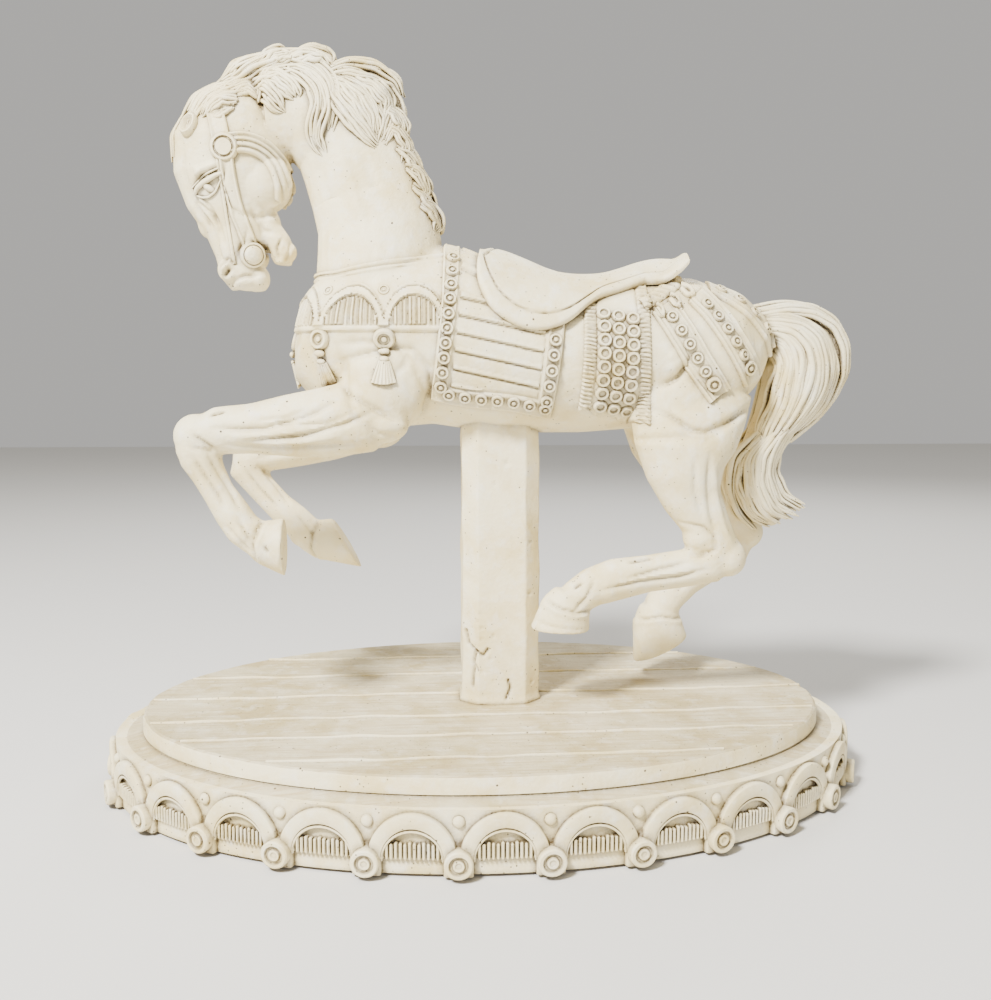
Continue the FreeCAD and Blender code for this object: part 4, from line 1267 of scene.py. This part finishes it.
def rounded(route):
    """The route with its corners cut off twice, so that a strap turns softly."""
    for _ in range(2):
        softer = [route[0]]
        for p, q in zip(route, route[1:]):
            softer += [tuple(a + (b - a) * f for a, b in zip(p, q)) for f in (0.25, 0.75)]
        route = softer + [route[-1]]
    return route


def lay_strap(name, skin, route, side, width, relief, cell=0.8, sink=0.8):
    """A strap along a route. relief(u, v) takes the distances along it and from its middle."""
    route = rounded(route)
    total = length_of(route)
    last = [None]

    def spot(s, t):
        (x, h), (dx, dh) = walk(route, s)
        off = (t - 0.5) * width
        last[0] = skin.beside(x - dh * off, h + dx * off, side) or last[0]
        return *last[0], s * total, off

    return lay_sheet(name, spot, max(4, round(total / cell)), max(4, round(width / (cell * 0.62))),
                     lambda u, v, s, t: relief(u, v), sink)


def stamp(master, spots, skin):
    """Copies of one small moulding, each set on the skin. A spot is (x, h, side, turn in degrees, size)."""
    copies = []
    for x, h, side, turn, size in spots:
        met = skin.beside(x, h, side)
        if met:
            copies.append(set_on(master, met, turn, size))
    return copies


def set_on(master, met, turn=0.0, size=1.0):
    point, out = met
    copy = copy_of(master)
    sideways = Vector((0, 0, 1)).cross(out).normalized()
    stand = Matrix((sideways, out.cross(sideways), out)).transposed().to_4x4()
    stand = stand @ Matrix.Rotation(math.radians(turn), 4, "Z") @ Matrix.Scale(size, 4)
    copy.data.transform(Matrix.Translation(point) @ stand)
    return copy


def turned(name, profile, sides=14):
    """A small round moulding, spun from its half section of (radius, height), Z out of the skin."""
    mesh = bpy.data.meshes.new(name)
    corners = [(r * MM, 0, z * MM) for r, z in profile]
    mesh.from_pydata(corners, [(k, k + 1) for k in range(len(profile) - 1)], [])
    obj = bpy.data.objects.new(name, mesh)
    bpy.context.scene.collection.objects.link(obj)
    return clean(edit(obj, lambda: bpy.ops.mesh.spin(steps=sides, angle=2 * math.pi, center=(0, 0, 0),
                                                     axis=(0, 0, 1))))


def ridge(d, half):
    """A round-topped ridge: its share of full height at distance d from its middle."""
    return np.sqrt(np.clip(1 - (d / half) ** 2, 0, 1))


def rim(d, width=0.8):
    """0 at an edge, rising steeply to 1 over width."""
    return np.sqrt(np.clip(d / width, 0, 1))


FLORET = [
    (0.0, 1.15), (0.55, 1.0), (0.75, 0.5), (1.05, 0.5), (1.3, 1.0),
    (1.75, 1.0), (2.05, 0.3), (2.05, -0.7), (0.0, -0.7),
]
RING_STUD = [(0.0, 0.3), (1.0, 0.3), (1.25, 0.95), (1.75, 0.95), (2.15, 0.3), (2.15, -0.7), (0.0, -0.7)]
BIG_ROSETTE = [
    (0.0, 1.6), (1.0, 1.4), (1.5, 0.7), (2.4, 0.7), (2.8, 1.7),
    (3.8, 1.7), (4.6, 0.6), (4.6, -1.2), (0.0, -1.2),
]
BRIDLE_ROSETTE = [
    (0.0, 1.6), (3.0, 1.6), (3.3, 0.9), (3.7, 0.9), (4.0, 1.6),
    (4.7, 1.5), (5.4, 0.6), (5.4, -1.6), (0.0, -1.6),
]
BIT_RING = [
    (0.0, 2.6), (2.4, 2.4), (3.6, 1.7), (3.9, 0.9), (4.3, 1.2),
    (5.0, 0.9), (5.3, 0.0), (5.3, -1.8), (0.0, -1.8),
]
EYEBALL = [(0.0, 1.5), (1.6, 1.3), (2.8, 0.7), (3.6, -0.4), (3.8, -1.8), (0.0, -1.8)]
EAR = [
    (0.0, 0.0), (1.8, 0.2), (2.8, 1.3), (3.4, 2.1), (3.9, 2.0),
    (4.4, 1.1), (4.7, 0.0), (4.7, -2.4), (0.0, -2.4),
]


class Girth:
    """Places round the body's skin, by station x and angle: 0 is straight out to one side, 90 is up."""

    def __init__(self, skin, axis_height):
        self.skin, self.axis = skin, axis_height

    def at_angle(self, x, angle, side):
        a = math.radians(angle)
        way = Vector((0, side * math.cos(a), math.sin(a)))
        return self.skin.meet(at(x, 0, self.axis) + way * 90 * MM, -way)

    def angle_of(self, x, h, side=-1):
        met = self.skin.beside(x, h, side)
        return math.degrees(math.atan2(h - self.axis, abs(met[0].y) / MM if met else 4.0))


def cover_back(name, girth, front, rear, low, relief, cell=0.62):
    """A sheet over the back, from its low edge on one side to the low edge on the other.

    front(h) and rear(h) give its two ends at each height, and low(x) its lower edge. Up to the shoulder
    of the back it is laid on from the side, and over the top of the back it is laid on from around.
    """
    shoulder, side_share = 60.0, 0.62

    def spot(s, t):
        side, share = (-1, 2 * t) if t < 0.5 else (1, 2 - 2 * t)
        h, x = min(share / side_share, 1) * shoulder, 0.0
        for _ in range(4):
            x = front(h) + (rear(h) - front(h)) * s
            foot = low(x)
            h = foot + (shoulder - foot) * min(share / side_share, 1)
        if share <= side_share:
            met = girth.skin.beside(x, h, side)
            return met[0], met[1], x, h
        above = (share - side_share) / (1 - side_share)
        angle = girth.angle_of(x, shoulder, side)
        h = shoulder + 18 * above
        x = front(h) + (rear(h) - front(h)) * s
        met = girth.at_angle(x, angle + (90 - angle) * above, side)
        return met[0], met[1], x, h

    return lay_sheet(name, spot, round((rear(20) - front(20)) / cell), 2 * round(88 / cell), relief)


def blanket_front(h):
    return -25.5 + (h - 16.5) * 7.0 / 66.5


def blanket_rear(h):
    return 28.5 + max(h - 8, 0) * 4.5 / 39


def blanket_low(x):
    return 16.0 - (x + 25.5) * 8.0 / 54 + 0.5 * math.sin(x / 7)


def blanket_relief(x, h, s, t):
    to_front = x - np.array([blanket_front(v) for v in h])
    to_rear = np.array([blanket_rear(v) for v in h]) - x
    to_low = h - np.array([blanket_low(v) for v in x])
    edge = np.minimum(np.minimum(to_front, to_rear), to_low)
    rise = 1.5 * rim(edge, 1.0)
    rise += 0.45 * ridge(edge - 0.9, 0.9) + 0.55 * ridge(edge - 6.6, 0.8)
    rise -= 0.35 * np.exp(-((edge - 7.9) / 0.5) ** 2)
    field = edge > 8.2
    lane = (h + 0.215 * (x + 15) - 22.0) / 7.65
    off = (lane - np.round(lane)) * 7.65
    rise += np.where(field, 0.6 * ridge(off - 0.9, 0.9) - 1.0 * np.exp(-((off + 0.4) / 0.5) ** 2), 0)
    return rise


def blanket_florets():
    spots = []
    for side in (-1, 1):
        for k in range(10):
            h = 78 - k * 6.25
            spots.append((blanket_front(h) + 3.9, h, side, 15 * k, 1.5))
        for k in range(7):
            x = -17.5 + k * 7.1
            spots.append((x, blanket_low(x) + 3.9, side, 20 * k, 1.5))
        for k in range(5):
            h = 15.5 + k * 6.6
            spots.append((blanket_rear(h) - 3.9, h, side, 25 * k, 1.5))
    return spots


def drape_front(h):
    return 40.0 + max(h - 12, 0) * 1.8 / 45


def drape_rear(h):
    return 71.6 + 0.5 * math.sin(h / 9)


def drape_low(x):
    return 11.8 - (x - 40) * 7.6 / 32 + 0.7 * math.sin(x / 2.1)


def drape_relief(x, h, s, t):
    to_front = x - np.array([drape_front(v) for v in h])
    to_rear = np.array([drape_rear(v) for v in h]) - x
    to_low = h - np.array([drape_low(v) for v in x])
    edge = np.minimum(to_front, to_rear)
    rise = 1.3 * rim(np.minimum(edge, to_low), 1.0)
    ribs = 0.45 * np.cos(2 * math.pi * (h + 0.12 * x) / 1.75)
    rise += np.where(edge < 5.4, ribs, 0) - 0.5 * np.exp(-((edge - 5.9) / 0.5) ** 2)
    hem = np.clip(1 - to_low / 4.5, 0, 1)
    rise += hem * 0.55 * np.sin(x * 1.9 + 2.2 * np.sin(h))
    return rise


def drape_studs():
    return [(50.0 + 6.3 * c + 0.02 * (h - 30), h, side, 0, 1.55)
            for side in (-1, 1) for c in range(3) for h in [53.5 - 5.75 * r - 1.1 * c for r in range(8)]]


def crupper_relief(width):
    def relief(u, v):
        edge = width / 2 - np.abs(v)
        return 1.4 * rim(edge, 0.9) + 0.5 * ridge(edge - 0.9, 0.8) + 0.45 * ridge(edge - 2.9, 0.6)
    return relief


CRUPPERS = [
    ([(77.5, 57), (85, 45), (94, 30), (103, 18)], 13.0), ([(93.5, 62.5), (102, 52.5), (111, 39),
         (120, 25)], 12.0),
    ([(102, 68), (112, 63.5), (122, 56), (130, 47), (136, 38)], 11.0),
]


def crupper_florets():
    spots = []
    for (route, width), count in zip(CRUPPERS, (5, 5, 4)):
        for k in range(count):
            (x, h), _ = walk(rounded(route), 0.12 + 0.6 * k / (count - 1))
            spots += [(x, h, side, 30 * k, 1.4) for side in (-1, 1)]
        (x, h), _ = walk(rounded(route), 0.87)
        spots += [(x, h, side, 0, 1.8) for side in (-1, 1)]
    return spots


SADDLE_EDGE = [
    (-2.8, 80), (-5, 74), (-5.2, 67.2), (-3.3, 61), (0.1, 54.7), (6.5, 49.7), (13, 46.7), (20.8, 45.5),
    (28.1, 46.4),
    (35.5, 49.8), (43.2, 55.8), (49.7, 59.7), (58.4, 62.3), (69.2, 65.7), (80.1, 70.3), (87, 75), (90, 79),
]
SADDLE_CROWN = [
    (-2, 82.5), (3, 85), (9, 84.2), (20, 80), (29, 76), (38, 73.6), (53, 73.6), (62, 76), (72, 79.6),
    (82, 81.4), (91, 80),
]
SADDLE_LIFT, CANTLE_START, ROLL_WIDTH = 4.0, 30, 7.6


def model_saddle(girth):
    """The seat: one sheet from flap to flap, dished between pommel and cantle, with a rolled edge."""
    edge_line, crown_line = rounded(SADDLE_EDGE), rounded(SADDLE_CROWN)
    edge_length, crown_length = length_of(edge_line), length_of(crown_line)

    def spot(s, t):
        side, share = (-1, 2 * t) if t < 0.5 else (1, 2 - 2 * t)
        (ex, eh), _ = walk(edge_line, s)
        (cx, ch), _ = walk(crown_line, s)
        x = ex + (cx - ex) * share ** 0.8
        foot, rise = girth.angle_of(ex, eh, side), SADDLE_LIFT
        if ex > CANTLE_START:
            # the cantle's edge stands up off the back, so it is reached from below
            foot = min(foot, 56)
            base = girth.at_angle(ex, foot, side)
            rise = max(rise, (eh - (base[0].z - BELLY) / MM) / math.sin(math.radians(foot)))
        turn = foot + (90 - foot) * share
        met = girth.at_angle(x, turn, side)
        way = Vector((0, side * math.cos(math.radians(turn)), math.sin(math.radians(turn))))
        top = girth.at_angle(x, 90, side)
        crown = ch - (top[0].z - BELLY) / MM
        swell = min(max((share - 0.3) / 0.7, 0), 1)
        swell = swell * swell * (3 - 2 * swell)
        lift = rise + (crown - rise) * swell
        to_edge = math.radians(90 - foot) * 37.0 * share
        length = edge_length + (crown_length - edge_length) * share
        return met[0] + way * lift * MM, way, to_edge, min(s, 1 - s) * length

    def relief(to_edge, to_end, s, t):
        d = np.minimum(to_edge, to_end)
        line = np.where(s > 0.5, to_edge, d)
        roll = 0.7 * rim(d, 3.0) - 1.2 * np.exp(-((line - ROLL_WIDTH) / 0.6) ** 2) - 0.4 * (line > ROLL_WIDTH)
        return roll - 1.2 * (1 - rim(d, 1.6))

    def under(s, t):
        inside = np.clip(0.8 - np.abs(2 * t - 1), 0, 1) * np.clip((0.47 - np.abs(s - 0.5)) / 0.12, 0, 1)
        return 3.2 + 5.0 * inside

    sheet = lay_sheet("saddle_seat", spot, 170, 170, relief, sink=under)
    return modify(sheet, "SMOOTH", factor=0.4, iterations=2)


# ---------------------------------------------------------------- breast collar round the chest

STATIONS = [0.0, 29.0, 56.5, 83.0]


class Chest:
    """Places round the chest by the distance walked from its front middle, at the collar's height."""

    def __init__(self, skin, centre_x):
        self.skin, self.centre = skin, centre_x
        turns = np.linspace(0, 90, 91)
        line = [self.cast(a, 55, -1)[0] for a in turns]
        walked = np.concatenate([[0], np.cumsum([(q - p).length / MM for p, q in zip(line, line[1:])])])
        self.turns, self.walked = turns, walked
        self.quarter = walked[-1]

    def cast(self, turn, h, side):
        a = math.radians(turn)
        way = Vector((-math.cos(a), side * math.sin(a), 0))
        return self.skin.meet(at(self.centre, 0, h) + way * 90 * MM, -way)

    def spot(self, distance, h):
        side = -1 if distance < 0 else 1
        d = abs(distance)
        if d <= self.quarter:
            met = self.cast(float(np.interp(d, self.walked, self.turns)), h, side)
        else:
            met = self.skin.beside(self.centre + d - self.quarter, h, side)
        return met[0], met[1], distance, h


def collar_top(d):
    """The collar's upper edge, which rises a little towards the withers."""
    return 71.5 + np.clip(d - 28, 0, 60) * 0.145


def collar_relief(d, h, s, t):
    d = np.abs(d)
    top = collar_top(d)
    rise = 0.75 * ridge(h - top, 0.9) + 0.55 * ridge(h - top + 2.4, 0.8)
    # which arch of the collar a place is in
    arch = [d < end for end in STATIONS[1:3]]
    middles = [(p + q) / 2 for p, q in zip(STATIONS, STATIONS[1:])]
    halves = [(q - p) / 2 for p, q in zip(STATIONS, STATIONS[1:])]
    middle = np.select(arch, middles[:2], middles[2])
    half = np.select(arch, halves[:2], halves[2])
    across = (d - middle) / half
    bow = np.sqrt(np.clip(1 - across ** 2, 0, 1))
    outer = 49.0 + 17.0 * bow
    inner = 47.5 + 13.2 * np.sqrt(np.clip(1 - (across * 1.2) ** 2, 0, 1))
    shell = h - outer
    rise += 0.6 * ridge(shell, 0.85)
    band = (h < outer - 1.3) & (h > inner + 0.2)
    rise += np.where(band, 1.0, 0) + 0.5 * ridge(h - inner - 0.4, 0.7) * (h > 46)
    lunette = (h < inner - 0.6) & (h > 48.2)
    ribs = 0.55 + 0.5 * np.cos(2 * math.pi * (d - middle) / 2.05)
    rise += np.where(lunette, ribs, 0)
    foot = (h > 45.4) & (h <= 48.2)
    rise += np.where(foot, 0.9 * ridge(h - 46.8, 1.3), 0)
    fall = np.clip((h - 44.6) / 1.0, 0, 1)
    over = np.clip((top + 1.4 - h) / 0.8, 0, 1)
    return (0.55 + rise) * fall * over - 0.25 * (1 - fall * over)


def model_collar(chest):
    span = 85.0

    def spot(s, t):
        distance = (s - 0.5) * 2 * span
        top = collar_top(abs(distance)) + 1.6
        return chest.spot(distance, 44.4 + (top - 44.4) * t)

    return lay_sheet("breast_collar_band", spot, 300, 56, collar_relief, sink=1.0)


def drape_on(master, chest, distance, h, lift=0.3):
    """A copy of a flat moulding bent over the chest, so that it hangs on the swell of the shoulder."""
    copy = copy_of(master)
    co = points_of(copy)
    for k, (x, y, z) in enumerate(co):
        point, out, _, _ = chest.spot(distance + x / MM, h + y / MM)
        co[k] = point + out * (z + lift * MM)
    set_points(copy, co)
    return copy


def model_tassel():
    """A knob, a collar and a flared fringe, hanging down -Y of its own frame, Z out of the skin."""
    pieces = []
    for y, r, z, flat in ((0.0, 2.0, 0.9, 0.75), (-3.4, 1.5, 0.8, 0.7)):
        bpy.ops.object.select_all(action="DESELECT")
        bpy.ops.mesh.primitive_uv_sphere_add(
            segments=14, ring_count=8, radius=r * MM, location=(0, y * MM, z * MM))
        pieces.append(settle_new((1.25, 0.75, flat)))
    for k in range(7):
        lean = (k - 3) * 0.62
        place = (lean * 0.75 * MM, -9.2 * MM, (0.9 - 0.06 * (k - 3) ** 2) * MM)
        bpy.ops.mesh.primitive_cone_add(vertices=7, radius1=0.62 * MM, radius2=0.95 * MM, depth=9.5 * MM,
                                        location=place, rotation=(math.pi / 2, 0, 0))
        thread = bpy.context.active_object
        select_only(thread)
        bpy.ops.transform.rotate(value=-0.085 * (k - 3), orient_axis="Z", center_override=(0, -3 * MM, 0))
        pieces.append(settle(thread))
    return join("tassel", pieces)


# ---------------------------------------------------------------- bridle

def plain_strap(width):
    def relief(u, v):
        edge = width / 2 - np.abs(v)
        return 1.0 * rim(edge, 0.8) + 0.55 * ridge(edge - 0.8, 0.75)
    return relief


def ribbed_strap(u, v):
    lines = sum(np.exp(-((v - c) / 0.45) ** 2) for c in (-1.9, 0.6, 2.6))
    return 1.5 * rim(4.7 - np.abs(v), 1.0) - 0.85 * lines + 0.25 * ridge(v + 3.3, 1.0)


def face_line(u, v):
    return 0.75 * ridge(v, 0.9)


# browband, cheekpiece, throatlatch and the line along the face: route, then width, relief, cell and sink
BRIDLE_STRAPS = [
    ([(-117.5, 140), (-116, 134), (-114.5, 126)], (8.2, plain_strap(8.2), 0.8, 0.8)),
    ([(-113.5, 124), (-112.5, 112), (-110.5, 100), (-106.5, 89), (-104, 80.5)],
     (6.8, plain_strap(6.8), 0.7, 0.8)),
    ([(-112, 126.5), (-104, 127.5), (-96, 124.5), (-91, 118), (-88.6, 110), (-89, 104)],
     (9.4, ribbed_strap, 0.6, 1.2)),
    ([(-117, 121), (-115.6, 108), (-114.4, 96), (-112.8, 84), (-112, 76)], (1.8, face_line, 0.6, 0.8)),
]


def model_bridle(skin):
    pieces = []
    for side in (-1, 1):
        pieces += [lay_strap("strap", skin, route, side, *make) for route, make in BRIDLE_STRAPS]
    front_ring, bit_ring = turned("bridle_rosette", BRIDLE_ROSETTE, 20), turned("bit_ring", BIT_RING, 20)
    pieces += stamp(front_ring, [(-113.9, 125.0, side, 0, 1.16) for side in (-1, 1)], skin)
    pieces += stamp(bit_ring, [(-104.0, 80.2, side, 0, 1.1) for side in (-1, 1)], skin)
    remove(front_ring, bit_ring)
    return join("bridle", pieces)


def model_ears(skin):
    """Two small cupped ears, laid back, with a fold inside."""
    cup = turned("ear", EAR, 18)
    edit(cup, lambda: bpy.ops.transform.resize(value=(0.86, 1.12, 1.0), center_override=(0, 0, 0)))
    ears = stamp(cup, [(-129.2, 135.0, side, side * 18, 1.05) for side in (-1, 1)], skin)
    remove(cup)
    return join("ears", ears)


def model_bows(skin):
    """Knotted cord along the cantle: a twisted roll on each side with a loop hanging at its end."""
    def round_cord(u, v):
        return 1.7 * ridge(v, 1.3)

    def twist(u, v):
        return 1.3 * rim(3.1 - np.abs(v), 1.6) + 0.6 * np.sin(2.1 * (u + 0.9 * v)) * ridge(v, 3.1)

    rolls, line = [], [(68, 57.5), (75, 61.5), (82, 66), (89, 71)]
    for side in (-1, 1):
        rolls.append(lay_strap("cantle_roll", skin, line, side, 6.2, twist, cell=0.55))
        for (x, h), lean in (((74.5, 58.0), 0.5), ((81.5, 62.5), 0.8), ((88.0, 67.5), 1.0)):
            loop = [(x, h), (x + 3.2 * lean, h - 1.2), (x + 4.4 * lean, h - 4.6), (x + 1.2, h - 5.6),
                    (x - 0.6, h - 2.2)]
            rolls.append(lay_strap("bow_loop", skin, loop, side, 2.6, round_cord, cell=0.6))
    return join("cantle_bows", rolls)


# ---------------------------------------------------------------- putting it together

body = model_body()
girth = Girth(Skin(body), 42)
body_skin = girth.skin
hind, body = split(body, at(0, 0, -6), (0, 0, -1))
fore, body = split(body, at(-84, 0, 0), (-1, 0, 0))
fore_near, fore_far = split(fore, (0, 0, 0), (0, -1, 0))
hind_near, hind_far = split(hind, (0, 0, 0), (0, -1, 0))
for obj, name, node in (
        (body, "horse_body", "torso"),
        (fore_near, "foreleg_near", "near_foreleg"), (fore_far, "foreleg_far", "far_foreleg"),
        (hind_near, "hind_leg_near", "near_hind_leg"), (hind_far, "hind_leg_far", "far_hind_leg")):
    obj.name = name
    finish_piece(obj, [node])

floret, ring_stud = turned("floret", FLORET, 10), turned("ring_stud", RING_STUD, 12)
rosette = turned("rosette", BIG_ROSETTE, 20)

blanket = cover_back("saddle_blanket", girth, blanket_front, blanket_rear, blanket_low, blanket_relief)
drape = cover_back("side_drape", girth, drape_front, drape_rear, drape_low, drape_relief)
on_tack = Skin(body, blanket, drape)
finish_piece(blanket)
finish_piece(drape)
finish_piece(join("blanket_florets", stamp(floret, blanket_florets(), on_tack)))
finish_piece(join("drape_ring_studs", stamp(ring_stud, drape_studs(), on_tack)))
straps = [lay_strap("crupper", on_tack, route, side, width, crupper_relief(width), cell=0.75)
          for route, width in CRUPPERS for side in (-1, 1)]
cruppers = join("crupper_straps", straps)
on_straps = Skin(body, blanket, drape, cruppers)
finish_piece(cruppers)
finish_piece(join("crupper_florets", stamp(floret, crupper_florets(), on_straps)))
finish_piece(model_bows(on_straps))
finish_piece(model_saddle(girth), ["saddle"])

chest = Chest(body_skin, -46)
finish_piece(model_collar(chest))
hangings, tassel = [], model_tassel()
for station in [sign * d for d in STATIONS[:3] for sign in (-1, 1)][1:]:
    for h, size in ((42.3, 1.05), (63.2, 0.58)):
        hangings.append(set_on(rosette, chest.spot(station, h)[:2], 0, size))
    hangings.append(drape_on(tassel, chest, station, 36.4))
finish_piece(join("collar_rosettes_and_tassels", hangings))
remove(floret, ring_stud, rosette, tassel)

head = model_head()
head_skin = Skin(head)
finish_piece(head, ["neck_and_head"], angle=60)
finish_piece(model_mane(head_skin), angle=60)
finish_piece(model_tail(), ["tail"], angle=60)
finish_piece(model_bridle(head_skin))
finish_piece(model_ears(head_skin))
finish_piece(model_eyes(head_skin))
